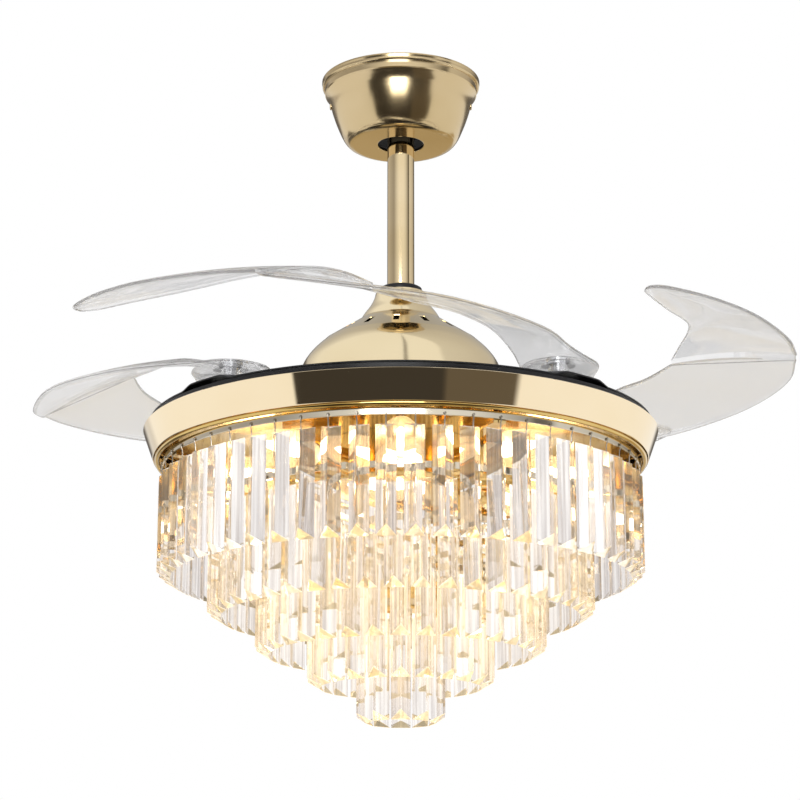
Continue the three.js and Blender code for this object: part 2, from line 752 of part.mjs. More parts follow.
// Places an edge point, given as swept degrees and shares, in the fan's frame
function bladePoint([swept, reachShare, riseShare]) {
  const turn = toRadians(pivotTurnDeg - swept);
  const reach = reachShare * bladeReach;
  return new THREE.Vector3(reach * Math.cos(turn), reach * Math.sin(turn), bladeSeat + riseShare * bladeRise);
}

function edgeStations(shares, count) {
  return new THREE.CatmullRomCurve3(shares.map(bladePoint), false, 'centripetal').getPoints(count - 1);
}

// Lofted clear blade: a cambered sheet between its outer and inner edges, on a round hub
function makeBlade() {
  const outer = [
    ...edgeStations(rootOuterShares, rootStations),
    ...edgeStations(tipOuterShares, tipStations),
  ];
  const inner = [
    ...edgeStations(rootInnerShares, rootStations),
    ...edgeStations(tipInnerShares, tipStations),
  ];
  const across = bladeStrips + 1;
  const positions = [];
  outer.forEach((edge, i) => {
    const crown = bladeCamber * Math.min(1, i / rootStations);
    for (const side of [1, -1]) {
      for (let j = 0; j < across; j += 1) {
        const t = j / bladeStrips;
        const point = edge.clone().lerp(inner[i], t);
        point.z += crown * 4 * t * (1 - t) + (side * bladeSheet) / 2;
        positions.push(point.x, point.y, point.z);
      }
    }
  });
  const indices = [];
  const top = (i, j) => i * 2 * across + j;
  const under = (i, j) => top(i, j) + across;
  const quad = (a, b, c, d) => indices.push(a, b, c, a, c, d);
  const last = outer.length - 1;
  for (let i = 0; i < last; i += 1) {
    for (let j = 0; j < bladeStrips; j += 1) {
      quad(top(i, j), top(i, j + 1), top(i + 1, j + 1), top(i + 1, j));
      quad(under(i, j), under(i + 1, j), under(i + 1, j + 1), under(i, j + 1));
    }
    quad(top(i, 0), top(i + 1, 0), under(i + 1, 0), under(i, 0));
    quad(top(i, bladeStrips), under(i, bladeStrips), under(i + 1, bladeStrips), top(i + 1, bladeStrips));
  }
  for (let j = 0; j < bladeStrips; j += 1) {
    quad(top(0, j), under(0, j), under(0, j + 1), top(0, j + 1));
    quad(top(last, j), top(last, j + 1), under(last, j + 1), under(last, j));
  }
  const sheet = new THREE.BufferGeometry();
  sheet.setAttribute('position', new THREE.Float32BufferAttribute(positions, 3));
  sheet.setIndex(indices);
  const hubTop = bladeSeat + bladeHubHeight;
  const soft = bladeHubRadius - bladeHubRound;
  const hub = turned([
    [0, bladeSeat], [soft, bladeSeat], [bladeHubRadius, bladeSeat + bladeHubRound],
    [bladeHubRadius, hubTop - bladeHubRound], [soft, hubTop], [0, hubTop],
  ], hubFacets).translate([pivotX, pivotY, 0]);
  const bore = cylinder(boltHoleRadius, bladeSeat - overrun, hubTop + overrun, pinFacets, pivotX, pivotY);
  const pocketRadius = turningHole(pivotHeadRadius, smallFacets);
  const pocket = cylinder(pocketRadius, hubTop, hubTop + bladeRise, smallFacets, pivotX, pivotY);
  return solidOf(sheet).add(hub).subtract(bore).subtract(pocket);
}

// Gold band with a rolled bead at its foot
function makeBand() {
  const flangeInner = bandRadius - bandFlange;
  const underFlange = bandHeight - bandSheet;
  const bead = [1, 2, 3, 4, 5].map((step) => {
    const turn = (step * Math.PI) / 3;
    const centre = bandFootRadius - beadRadius * 1.6;
    return [centre + beadRadius * Math.cos(turn), beadRadius * (Math.sin(turn) - 0.45)];
  });
  return turned([
    [bandRadius, bandHeight], [flangeInner, bandHeight], [flangeInner, underFlange],
    [bandRadius - bandSheet * 1.5, underFlange], [bandFootRadius - bandSheet, beadRadius * 0.6], ...bead,
    [bandFootRadius, 0],
  ], wideFacets);
}

// Pan above the lamps, its rim pressed up against the band's flange
function makePan() {
  const rimTop = bandHeight - bandSheet - seatGap;
  const rimFoot = rimTop - bandSheet;
  const rise = rimTop - panTop;
  const hole = shaftRadius + seatGap;
  return turned([
    [hole, panFoot], [panRadius, panFoot], [panRadius + rise, rimFoot], [panRimRadius, rimFoot],
    [panRimRadius, rimTop], [panRadius + rise - bandSheet / 2, rimTop], [panRadius - bandSheet / 2, panTop],
    [hole, panTop],
  ], roundFacets);
}

function makeLocknut() {
  const top = panFoot - seatGap;
  const bore = cylinder(shaftRadius + seatGap, top - locknutHeight - overrun, top + overrun, smallFacets);
  return cylinder(locknutRadius, top - locknutHeight, top, 6).subtract(bore);
}

const drumTop = panFoot - seatGap;
const bulbAxis = drumTop - bulbAxisDrop;
const bulbTurns = Array.from({ length: bulbCount }, (_, i) => bulbTurnDeg + (360 * i) / bulbCount);
const holderEnd = drumRadius + holderLength;

function makeLampDrum() {
  const foot = drumTop - drumDrop;
  const wall = turned([
    [0, foot], [drumRadius, foot], [drumRadius, drumTop], [drumRadius - drumSheet, drumTop],
    [drumRadius - drumSheet, foot + drumSheet], [0, foot + drumSheet],
  ], roundFacets);
  const holder = rodAlongX(holderRadius, drumRadius - drumSheet, holderEnd, bulbAxis, pinFacets);
  const socketFrom = holderEnd - bulbCapLength - runningGap;
  const socketRadius = holderRadius - holderWall;
  const socket = rodAlongX(socketRadius, socketFrom, holderEnd + overrun, bulbAxis, pinFacets);
  const holders = unionOf(bulbTurns.map((turn) => aboutZ(holder, turn)));
  const sockets = unionOf(bulbTurns.map((turn) => aboutZ(socket, turn)));
  return wall.add(holders).subtract(sockets);
}

// Candle bulb along +X, its cap inside the holder
function makeBulb() {
  const capFrom = holderEnd - bulbCapLength;
  const outline = [[0, capFrom], [bulbCapRadius, capFrom], [bulbCapRadius, holderEnd + seatGap]];
  for (const [r, along] of bulbOutlineShares) {
    outline.push([Math.max(r * bulbRadius, 0), holderEnd + seatGap + runningGap + along * bulbLength]);
  }
  outline.push([0, holderEnd + seatGap + runningGap + bulbLength]);
  return turned(outline, pinFacets).rotate([0, 90, 0]).translate([0, 0, bulbAxis]);
}

// Prism tiers and the stepped frame that carries their rings
const tiers = tierCounts.map((count, i) => {
  const radius = tierRadius * tierRadiusShares[i];
  const ringTop = -ringDrop - tierDrop * tierDropShares[i];
  const facets = count * Math.ceil(ringFacets / count);
  const insideFlat = (radius - ringSheet / 2) * Math.cos(Math.PI / facets);
  const barReach = Math.sqrt(insideFlat ** 2 - (barWidth / 2) ** 2) - seatGap;
  const hookReach = facets === count ? radius * Math.cos(Math.PI / facets) : radius;
  return { count, radius, ringTop, ringFoot: ringTop - ringHeight, facets, barReach, hookReach };
});

// Glass prism: flat back inwards, sharp edge outwards, both ends cut on a slant
function makePrism(radius, top) {
  const edge = radius + prismOverRing;
  const back = edge - prismDepth;
  const half = prismWidth / 2;
  const foot = top - prismLength;
  const corners = [
    [back, -half, top], [back, half, top], [edge, 0, top - prismTopSlant],
    [back, -half, foot], [back, half, foot], [edge, 0, foot + prismFootSlant],
  ];
  const geometry = new THREE.BufferGeometry();
  geometry.setAttribute('position', new THREE.Float32BufferAttribute(corners.flat(), 3));
  geometry.setIndex([0, 2, 1, 3, 4, 5, 0, 1, 4, 0, 4, 3, 1, 2, 5, 1, 5, 4, 2, 0, 3, 2, 3, 5]);
  return solidOf(geometry);
}

function makeTier({ count, radius, ringTop, ringFoot, facets, hookReach }) {
  const half = ringSheet / 2;
  const strip = ring(radius - half, radius + half, ringFoot, ringTop, facets);
  const top = ringFoot - prismBelowRing;
  const prism = makePrism(radius, top);
  const slantShare = (prismDepth - prismOverRing) / prismDepth;
  const hookFoot = top - prismTopSlant * slantShare - hookBite;
  const hook = cylinder(hookRadius, hookFoot, ringFoot + ringSheet, 3, hookReach, 0);
  const hung = prism.add(hook);
  const all = [strip];
  for (let i = 0; i < count; i += 1) all.push(aboutZ(hung, (360 * (i + 0.5)) / count));
  return unionOf(all);
}

// Two stepped flat bars that cross under the smallest ring, with feet up against the pan
function makeTierFrame() {
  const topZ = panFoot - seatGap;
  const footFrom = tiers[0].barReach - barFoot;
  const side = [[footFrom, topZ]];
  const back = [[footFrom, topZ - barSheet]];
  let level = topZ;
  for (const { barReach, ringFoot } of tiers) {
    const inner = barReach - barSheet;
    side.push([barReach, level]);
    back.push([inner, level === topZ ? topZ - barSheet : level + barSheet]);
    level = ringFoot - barStep - barSheet;
    side.push([barReach, level]);
    back.push([inner, level + barSheet]);
  }
  const rightSide = [...back.reverse(), ...side];
  const leftSide = rightSide.map(([x, z]) => [-x, z]).reverse();
  const bar = extruded([...rightSide, ...leftSide], -barWidth / 2, barWidth / 2).rotate([90, 0, 0]);
  return unionOf([aboutZ(bar, barTurnDeg), aboutZ(bar, barTurnDeg + 90)]);
}

// Scene graph
const fan = new THREE.Group();
const ceilingGroup = new THREE.Group();
const dropGroup = new THREE.Group();
const headGroup = new THREE.Group();
const rotorGroup = new THREE.Group();
fan.add(ceilingGroup, dropGroup);
dropGroup.add(headGroup);
headGroup.position.z = headHeight;
headGroup.add(rotorGroup);

ceilingGroup.add(piece('ceiling_bracket', makeBracket(), 'steel'));
ceilingGroup.add(piece('canopy', makeCanopy(), 'gold'));
ceilingGroup.add(piece('receiver_box', makeReceiver(), 'white'));
for (const side of [1, 2]) {
  const screw = piece(`canopy_screw_${side}`, makeCanopyScrew(), 'gold');
  screw.rotation.z = Math.PI * (side - 1);
  ceilingGroup.add(screw);
}

dropGroup.add(piece('hanger_ball', makeBall(), 'black'));
dropGroup.add(piece('ball_pin', makeBallPin(), 'steel'));
dropGroup.add(piece('downrod', makeRod(), 'gold'));

headGroup.add(piece('rod_collar', makeCollar(), 'black'));
headGroup.add(piece('motor_yoke', makeYoke(), 'steel'));
headGroup.add(piece('yoke_bolt', makeYokeBolt(), 'steel'));
headGroup.add(piece('yoke_nut', makeYokeNut(), 'steel'));
headGroup.add(piece('motor_dome', makeDome(), 'gold'));
headGroup.add(piece('stator_shaft', makeShaft(), 'steel'));
headGroup.add(piece('stator_core', makeStator(), 'iron'));
headGroup.add(piece('light_pan', makePan(), 'gold'));
headGroup.add(piece('pan_locknut', makeLocknut(), 'steel'));
headGroup.add(piece('housing_ring', makeBand(), 'gold'));
headGroup.add(piece('lamp_drum', makeLampDrum(), 'gold'));
headGroup.add(piece('tier_frame', makeTierFrame(), 'gold'));
tiers.forEach((tier, i) => headGroup.add(piece(`prism_tier_${i + 1}`, makeTier(tier), 'prism')));
bulbTurns.forEach((turn, i) => {
  const bulb = piece(`bulb_${i + 1}`, makeBulb(), 'lamp');
  bulb.rotation.z = toRadians(turn);
  headGroup.add(bulb);
});

rotorGroup.add(piece('rotor_shell_lower', turned(shellOutline(shellFoot, 1), roundFacets), 'steel'));
rotorGroup.add(piece('rotor_shell_upper', turned(shellOutline(shellTop, -1), roundFacets), 'steel'));
rotorGroup.add(piece('bearing_lower', makeBearing(shellFoot, 1), 'steel'));
rotorGroup.add(piece('bearing_upper', makeBearing(shellTop, -1), 'steel'));
rotorGroup.add(piece('magnet_ring', makeMagnet(), 'magnet'));
rotorGroup.add(piece('blade_disc', makeDisc(), 'black'));
rotorGroup.add(piece('disc_cover', makeCover(), 'black'));
rotorGroup.add(piece('sync_ring', makeSyncRing(), 'white'));

quarterTurns.forEach((turn, i) => {
  const arm = new THREE.Group();
  arm.rotation.z = toRadians(turn);
  const pivot = new THREE.Group();
  pivot.position.set(pivotX, pivotY, 0);
  pivot.rotation.z = pivotTurn;
  pivot.add(piece(`pivot_bolt_${i + 1}`, makePivotBolt(), 'steel'));
  pivot.add(piece(`sector_gear_${i + 1}`, makeSectorGear(), 'white'));
  pivot.add(piece(`return_spring_${i + 1}`, makeSpring(), 'steel'));
  arm.add(pivot, piece(`blade_${i + 1}`, makeBlade(), 'clear'));
  rotorGroup.add(arm);
});

export default fan;
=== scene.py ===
"""Looks of the chandelier ceiling fan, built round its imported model.

Lengths in the dataclasses are millimetres. Heights marked "over the band" count from the lower edge of
the gold band, which hangs BAND_DROP below the ceiling. Meshes are written in metres, at the origin.
"""

import json
import logging
import math
from dataclasses import dataclass
from enum import Enum
from typing import Callable, Sequence

import bmesh
import bpy
from mathutils import Matrix, Vector


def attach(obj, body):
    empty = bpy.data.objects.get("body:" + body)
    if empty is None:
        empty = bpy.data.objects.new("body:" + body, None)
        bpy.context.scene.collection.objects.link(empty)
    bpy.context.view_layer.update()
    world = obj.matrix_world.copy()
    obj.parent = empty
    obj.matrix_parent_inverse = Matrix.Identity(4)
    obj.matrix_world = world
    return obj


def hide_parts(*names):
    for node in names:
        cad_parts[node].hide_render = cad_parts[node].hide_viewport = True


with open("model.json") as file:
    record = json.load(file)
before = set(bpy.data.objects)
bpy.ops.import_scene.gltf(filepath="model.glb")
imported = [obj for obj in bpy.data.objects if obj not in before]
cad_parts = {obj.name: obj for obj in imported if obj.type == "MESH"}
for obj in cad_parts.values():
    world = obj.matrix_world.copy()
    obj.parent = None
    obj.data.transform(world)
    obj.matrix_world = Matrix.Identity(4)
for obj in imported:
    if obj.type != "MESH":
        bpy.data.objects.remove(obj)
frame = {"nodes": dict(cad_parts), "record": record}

LOG = logging.getLogger("ceiling_fan")
MM = 0.001
TINY = 1e-6
BAND_DROP = 393.5
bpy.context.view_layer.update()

Thing = bpy.types.Object
Node = bpy.types.Node
Socket = bpy.types.NodeSocket
Colour = tuple[float, float, float]
Outline = Sequence[tuple[float, float]]
Line = list[tuple[float, float]]


class Body(Enum):
    """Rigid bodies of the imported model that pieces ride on."""

    CEILING = "ceiling_mount"
    DROP = "drop"
    ROTOR = "rotor"
    ARM = "blade_arm_"


class Slot(Enum):
    """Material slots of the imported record."""

    STEEL = "brushed_steel"
    SATIN_GOLD = "satin_gold"
    POLISHED_GOLD = "polished_gold"
    BLACK = "black_satin"
    NYLON = "black_nylon"
    WHITE = "white_plastic"
    IRON = "stator_iron"
    MAGNET = "magnet"
    ACRYLIC = "clear_acrylic"
    CRYSTAL = "crystal_glass"
    LAMP = "lamp_glass"


# Node trees


class NodeSheet:
    """Short way to write a shader or geometry node tree."""

    def __init__(self, tree: bpy.types.NodeTree) -> None:
        """Start on a tree. Args: tree: the tree that gets the nodes."""
        self.tree = tree

    def feed(self, node: Node, inputs: dict) -> None:
        """Fill a node's inputs.

        Args:
            node: the node.
            inputs: a value, or the socket to link, for each input's name or number.
        """
        for name, value in inputs.items():
            if isinstance(value, Socket):
                self.tree.links.new(value, node.inputs[name])
            else:
                node.inputs[name].default_value = value

    def add(self, kind: str, inputs: dict | None = None, **settings: object) -> Node:
        """Add one node.

        Args:
            kind: the node's type name.
            inputs: what its inputs get.
            settings: attributes of the node itself.

        Returns:
            The new node.
        """
        node = self.tree.nodes.new(kind)
        for name, value in settings.items():
            setattr(node, name, value)
        self.feed(node, inputs or {})
        return node

    def out(self, kind: str, inputs: dict | None = None, **settings: object) -> Socket:
        """Add one node as add() does. Returns: its first output."""
        return self.add(kind, inputs, **settings).outputs[0]

    def math(self, operation: str, *values: Socket | float) -> Socket:
        """Add a Math node of this operation on these values. Returns: its output."""
        return self.out("ShaderNodeMath", dict(enumerate(values)), operation=operation)

    def ramp(self, source: Socket, *stops: tuple[float, Colour]) -> Socket:
        """Add a Color Ramp.

        Args:
            source: the factor.
            stops: (place, colour) pairs, in rising order.

        Returns:
            Its colour.
        """
        node = self.add("ShaderNodeValToRGB", {"Fac": source})
        while len(node.color_ramp.elements) < len(stops):
            node.color_ramp.elements.new(0.5)
        for element, (place, colour) in zip(node.color_ramp.elements, stops):
            element.position = place
            element.color = (*colour, 1.0)
        return node.outputs[0]

    def spread(self, value: Socket, low: float, high: float, start: float = 0.0, end: float = 1.0) -> Socket:
        """Stretch a value's range.

        Args:
            value: what is stretched.
            low: result at the start.
            high: result at the end.
            start: where the value's range starts.
            end: where it ends.

        Returns:
            The result.
        """
        limits = {"From Min": start, "From Max": end, "To Min": low, "To Max": high}
        return self.out("ShaderNodeMapRange", {"Value": value, **limits})

    def noise(self, across: float, along: float, detail: float, roughness: float = 0.5) -> Socket:
        """Add a noise on Object coordinates.

        Args:
            across: how many features a metre along X and Y.
            along: how many features a metre along Z.
            detail: the noise's detail.
            roughness: the noise's own roughness.

        Returns:
            Its factor.
        """
        where = self.add("ShaderNodeTexCoord").outputs["Object"]
        place = self.out("ShaderNodeMapping", {"Vector": where, "Scale": (across, across, along)})
        grain = {"Vector": place, "Scale": 1.0, "Detail": detail, "Roughness": roughness}
        return self.out("ShaderNodeTexNoise", grain)

    def bump(self, height: Socket, distance: float, strength: float) -> Socket:
        """Add a Bump node of this depth in metres and this strength. Returns: its normal."""
        return self.out("ShaderNodeBump", {"Height": height, "Distance": distance, "Strength": strength})


# Finishes


@dataclass(frozen=True)
class Finish:
    """What every finish shares: its name, its two tints and the way its material is made once."""

    name: str
    deep: Colour
    pale: Colour

    def material(self) -> bpy.types.Material:
        """Give this finish's material, made at its first use.

        Returns:
            The material.
        """
        made = bpy.data.materials.get(self.name)
        if made is None:
            made = bpy.data.materials.new(self.name)
            made.use_nodes = True
            made.node_tree.nodes.clear()
            sheet = NodeSheet(made.node_tree)
            shader = sheet.out("ShaderNodeBsdfPrincipled", self.paint(sheet))
            sheet.add("ShaderNodeOutputMaterial", {"Surface": shader})
        return made

    def tint(self, sheet: NodeSheet, cloud: Socket, low: float, high: float) -> Socket:
        """Blend from the deep tint, where the cloud is low, to the pale one. Returns: the colour."""
        return sheet.ramp(cloud, (low, self.deep), (high, self.pale))

    def paint(self, sheet: NodeSheet) -> dict:
        """Write the nodes before the shader. Returns: what the shader's inputs get."""
        raise NotImplementedError


@dataclass(frozen=True)
class PlatedMetal(Finish):
    """Plated or bare metal, polished or finely brushed round the Z axis."""

    roughness: float
    brushing: float = 0.0

    def paint(self, sheet: NodeSheet) -> dict:
        """Vary the tint in slow clouds and the gloss in fine lines.

        Args:
            sheet: the material's nodes.

        Returns:
            What the shader's inputs get.
        """
        lines, smear = sheet.noise(3.0, 900.0, 4.0, 0.6), sheet.noise(30.0, 45.0, 3.0)
        mixed = sheet.math("ADD", sheet.math("MULTIPLY", lines, 0.6), sheet.math("MULTIPLY", smear, 0.4))
        inputs = {
            "Base Color": self.tint(sheet, sheet.noise(9.0, 14.0, 2.0), 0.35, 0.65),
            "Roughness": sheet.spread(mixed, self.roughness * 0.75, self.roughness * 1.3, 0.3, 0.7),
            "Metallic": 1.0,
        }
        if self.brushing:
            inputs["Normal"] = sheet.bump(lines, 0.0002, self.brushing)
        return inputs


@dataclass(frozen=True)
class Enamel(Finish):
    """Satin enamel or moulded plastic with a fine orange-peel skin."""

    roughness: float
    peel: float = 0.15
    mirror: float = 0.5

    def paint(self, sheet: NodeSheet) -> dict:
        """Mottle the colour and gloss slightly, over a fine bump.

        Args:
            sheet: the material's nodes.

        Returns:
            What the shader's inputs get.
        """
        mottle = sheet.noise(45.0, 45.0, 4.0)
        return {
            "Base Color": self.tint(sheet, mottle, 0.3, 0.8),
            "Roughness": sheet.spread(mottle, self.roughness * 0.85, self.roughness * 1.25),
            "Normal": sheet.bump(sheet.noise(700.0, 700.0, 2.0), 0.0003, self.peel),
            "Specular IOR Level": self.mirror,
        }


@dataclass(frozen=True)
class ClearMoulding(Finish):
    """Clear acrylic with slow waves in its skin."""

    roughness: float
    ior: float = 1.49
    body: float = 0.55
    wave: float = 0.12

    def paint(self, sheet: NodeSheet) -> dict:
        """Let light through, with a faint tint and a moulded waviness.

        Args:
            sheet: the material's nodes.

        Returns:
            What the shader's inputs get.
        """
        return {
            "Base Color": self.tint(sheet, sheet.noise(12.0, 12.0, 2.0), 0.3, 0.7),
            "Normal": sheet.bump(sheet.noise(22.0, 22.0, 1.0), 0.002, self.wave),
            "Roughness": self.roughness,
            "IOR": self.ior,
            "Transmission Weight": 1.0,
            "Alpha": self.body,
        }


@dataclass(frozen=True)
class CutGlass(Finish):
    """Cut prism glass with a painted warm glow where it hangs close to the lamps, and at its lower ends."""

    ior: float
    glow: Colour
    glow_strength: float
    lamp_height: float
    reach: float
    foot_glow: float

    def paint(self, sheet: NodeSheet) -> dict:
        """Clear glass with a fine streaky tint, and a streaky painted glow that falls with the distance from the
        lamps.

        Args:
            sheet: the material's nodes.

        Returns:
            What the shader's inputs get.
        """
        where = sheet.add("ShaderNodeTexCoord").outputs["Object"]
        middle = {0: where, 1: (0.0, 0.0, self.lamp_height)}
        far = sheet.add("ShaderNodeVectorMath", middle, operation="DISTANCE").outputs["Value"]
        # Painted light: the glass glows warm in streaks near the lamps and on its downward faces.
        glow_streaks = sheet.math("MULTIPLY", sheet.noise(60.0, 18.0, 3.0), self.glow_strength * 2)
        painted_lamp_glow = sheet.math("MULTIPLY", sheet.spread(far, 1.0, 0.0, 0.05, self.reach), glow_streaks)
        normal = sheet.add("ShaderNodeNewGeometry").outputs["True Normal"]
        down = sheet.math("LESS_THAN", sheet.add("ShaderNodeSeparateXYZ", {0: normal}).outputs["Z"], -0.3)
        return {
            "Base Color": self.tint(sheet, sheet.noise(330.0, 7.0, 2.0), 0.4, 0.57),
            "Emission Strength": sheet.math("ADD", painted_lamp_glow, sheet.math("MULTIPLY", down, self.foot_glow)),
            "Emission Color": (*self.glow, 1.0),
            "Roughness": 0.0,
            "IOR": self.ior,
            "Transmission Weight": 1.0,
        }


@dataclass(frozen=True)
class LitGlass(Finish):
    """Frosted bulb glass, lit from inside, in cloudy warm tints."""

    strength: float
    body: float = 1.0

    def paint(self, sheet: NodeSheet) -> dict:
        """Shine with a soft cloudiness.

        Args:
            sheet: the material's nodes.

        Returns:
            What the shader's inputs get.
        """
        tint = self.tint(sheet, sheet.noise(40.0, 40.0, 2.0), 0.3, 0.7)
        return {"Base Color": tint, "Emission Color": tint, "Emission Strength": self.strength,
                "Roughness": 0.2, "Alpha": self.body}


SATIN_GOLD = PlatedMetal("satin_champagne_gold", (0.6, 0.46, 0.25), (0.66, 0.52, 0.31), 0.17)
ROD_GOLD = PlatedMetal("rod_champagne_gold", (0.78, 0.62, 0.37), (0.84, 0.69, 0.45), 0.07)
DOME_GOLD = PlatedMetal("dome_champagne_gold", (0.8, 0.67, 0.43), (0.84, 0.71, 0.47), 0.1)
BAND_GOLD = PlatedMetal("polished_band_gold", (0.92, 0.76, 0.51), (0.94, 0.79, 0.55), 0.05)
# The bead's gold is darker and browner than the band's: painted reflection on the same plating.
BEAD_PAINTED_REFLECTION_GOLD = PlatedMetal("rolled_bead_painted_reflection_gold", (0.62, 0.42, 0.13), (0.78, 0.56, 0.22), 0.08)
BOLT = PlatedMetal("bright_bolt_plating", (0.82, 0.83, 0.85), (0.88, 0.89, 0.91), 0.2)
LAMP_GOLD = PlatedMetal("lamp_tray_gold", (0.84, 0.6, 0.25), (0.9, 0.68, 0.33), 0.12)
RING_GOLD = PlatedMetal("tier_ring_plating", (0.7, 0.63, 0.5), (0.77, 0.7, 0.57), 0.1)
STEEL = PlatedMetal("zinc_steel", (0.5, 0.51, 0.53), (0.62, 0.63, 0.65), 0.3, 0.06)
WIRE = PlatedMetal("hook_wire", (0.42, 0.38, 0.32), (0.58, 0.53, 0.45), 0.15)
CORE_IRON = PlatedMetal("core_iron", (0.12, 0.12, 0.13), (0.2, 0.2, 0.21), 0.55, 0.2)
FERRITE = Enamel("ferrite", (0.05, 0.05, 0.055), (0.09, 0.09, 0.095), 0.6, 0.3)
BLACK = Enamel("black_satin_enamel", (0.01, 0.01, 0.011), (0.018, 0.018, 0.02), 0.3, mirror=0.22)
NYLON = Enamel("black_nylon", (0.02, 0.02, 0.02), (0.035, 0.035, 0.035), 0.5, 0.3)
WHITE = Enamel("white_moulded_plastic", (0.78, 0.78, 0.75), (0.84, 0.84, 0.82), 0.45, 0.2)
ACRYLIC = ClearMoulding("clear_blade_acrylic", (0.93, 0.925, 0.94), (0.96, 0.955, 0.965), 0.01)
# Grey see-through acrylic for lines along the blade edges: painted shade standing in for how thick clear edges look
# dark.
EDGE_SHADE_ACRYLIC = ClearMoulding("blade_edge_painted_shade", (0.34, 0.33, 0.33), (0.42, 0.41, 0.41), 0.05)
# The glow settings paint warm light into the prisms.
CRYSTAL = CutGlass("cut_prism_glass", (0.56, 0.53, 0.54), (0.95, 0.94, 0.95), ior=1.52, glow=(1.0, 0.81, 0.5),
                   glow_strength=0.27, lamp_height=-0.42, reach=0.27, foot_glow=0.4)
LAMP_CORE = LitGlass("lit_lamp_core", (1.0, 0.8, 0.5), (1.0, 0.9, 0.68), 9.0)
LAMP = LitGlass("lit_candle_glass", (1.0, 0.78, 0.48), (1.0, 0.88, 0.64), 0.25, 0.3)


# Places and outlines, in millimetres


def over_band(height: float) -> float:
    """Turn a height over the band's foot into a height under the ceiling."""
    return height - BAND_DROP


def lifted(outline: Outline) -> Line:
    """Move a whole outline from band heights to ceiling heights."""
    return [(radius, over_band(height)) for radius, height in outline]


def on_circle(radius: float, degrees: float, height: float = 0.0) -> Vector:
    """Return a place on a circle about Z."""
    turn = math.radians(degrees)
    return Vector((radius * math.cos(turn), radius * math.sin(turn), height))


def turned(degrees: float, axis: str | Vector) -> Matrix:
    """Return a turn about an axis."""
    return Matrix.Rotation(math.radians(degrees), 4, axis)


def blend(start: Vector, end: Vector, low: float, high: float, spot: float) -> Vector:
    """Return the point at a spot on the line that runs from start, at low, to end, at high."""
    return start * ((high - spot) / (high - low)) + end * ((spot - low) / (high - low))


def curve_through(corners: Sequence[Vector], count: int) -> list[Vector]:
    """Sample a centripetal Catmull-Rom curve evenly by its parameter.

    Args:
        corners: points that it passes through.
        count: how many samples to take, both ends included.

    Returns:
        The samples.
    """
    ends = [corners[0] * 2 - corners[1], *corners, corners[-1] * 2 - corners[-2]]
    samples = []
    for step in range(count):
        place = step / (count - 1) * (len(corners) - 1)
        part = min(int(place), len(corners) - 2)
        near, knots = ends[part:part + 4], [0.0]
        for start, end in zip(near, near[1:]):
            knots.append(knots[-1] + (end - start).length ** 0.5)
        spot = knots[1] + (knots[2] - knots[1]) * (place - part)
        for reach in (1, 2):
            near = [blend(start, end, knots[k], knots[k + reach], spot)
                    for k, (start, end) in enumerate(zip(near, near[1:]))]
        samples.append(blend(*near, knots[1], knots[2], spot))
    return samples


def smooth_outline(line: Outline, count: int) -> Line:
    """Return a (radius, height) line rounded through its points."""
    return [(p.x, p.y) for p in curve_through([Vector((r, z, 0.0)) for r, z in line], count)]


def inset(line: Outline, sheet: float) -> Line:
    """Move an open (radius, height) line inwards by a sheet's thickness.

    Args:
        line: the outer line.
        sheet: the thickness.

    Returns:
        The inner line, in the same order.
    """
    moved = []
    for place, (radius, height) in enumerate(line):
        before, after = line[max(place - 1, 0)], line[min(place + 1, len(line) - 1)]
        dr, dz = after[0] - before[0], after[1] - before[1]
        length = math.hypot(dr, dz) or 1.0
        moved.append((radius - abs(dz) / length * sheet, height - abs(dr) / length * sheet))
    return moved


def braced(outline: Outline, firm: float = 4.0, near: float = 0.4) -> Line:
    """Add points close to both ends of a section's long straight runs, so that they shade flat.

    Args:
        outline: corners in millimetres, round the section.
        firm: shortest run that counts as long.
        near: how far from its ends the points go.

    Returns:
        The outline with the added points.
    """
    full = []
    for place, (radius, height) in enumerate(outline):
        end_radius, end_height = outline[(place + 1) % len(outline)]
        full.append((radius, height))
        run = math.hypot(end_radius - radius, end_height - height)
        if run > firm:
            shares = [share for share, end in ((near / run, radius), (1 - near / run, end_radius)) if end > TINY]
            full += [(radius + (end_radius - radius) * t, height + (end_height - height) * t) for t in shares]
    return full


def tube(inner: float, outer: float, foot: float, top: float, soft: float) -> Line:
    """Return the outline of a tube whose outer edges are chamfered by the soft length."""
    return [(inner, foot), (outer - soft, foot), (outer, foot + soft), (outer, top - soft), (outer - soft, top),
            (inner, top)]


def bands(loops: int, count: int, start: int = 0, rise: int = 0) -> list[tuple[int, ...]]:
    """List the faces between closed loops of points.

    Args:
        loops: how many loops.
        count: how many points in each.
        start: number of the first point.
        rise: how far on the next loop's points are, where it isn't the count.

    Returns:
        The faces, as corner numbers.
    """
    faces = []
    for low in range(start, start + (loops - 1) * count, count):
        high = low + (rise or count)
        faces += [(low + k, low + (k + 1) % count, high + (k + 1) % count, high + k) for k in range(count)]
    return faces


# Meshes, with lengths in millimetres


def linked(name: str, data: bpy.types.ID) -> Thing:
    """Make an object of some data and link it to the scene.

    Args:
        name: the object's name.
        data: what it shows or is.

    Returns:
        The object.
    """
    thing = bpy.data.objects.new(name, data)
    bpy.context.scene.collection.objects.link(thing)
    return thing


def from_lists(name: str, points: Sequence, faces: Sequence, sharp: float | None = 32.0) -> Thing:
    """Make an object of a point and face list, and clean it.

    Args:
        name: the object's name.
        points: corners in millimetres.
        faces: tuples of corner numbers.
        sharp: angle in degrees past which an edge stays sharp, or None for flat faces.

    Returns:
        The object.
    """
    mesh = bpy.data.meshes.new(name)
    mesh.from_pydata([Vector(p) * MM for p in points], [], faces)
    thing = linked(name, mesh)
    clean(thing, sharp)
    return thing


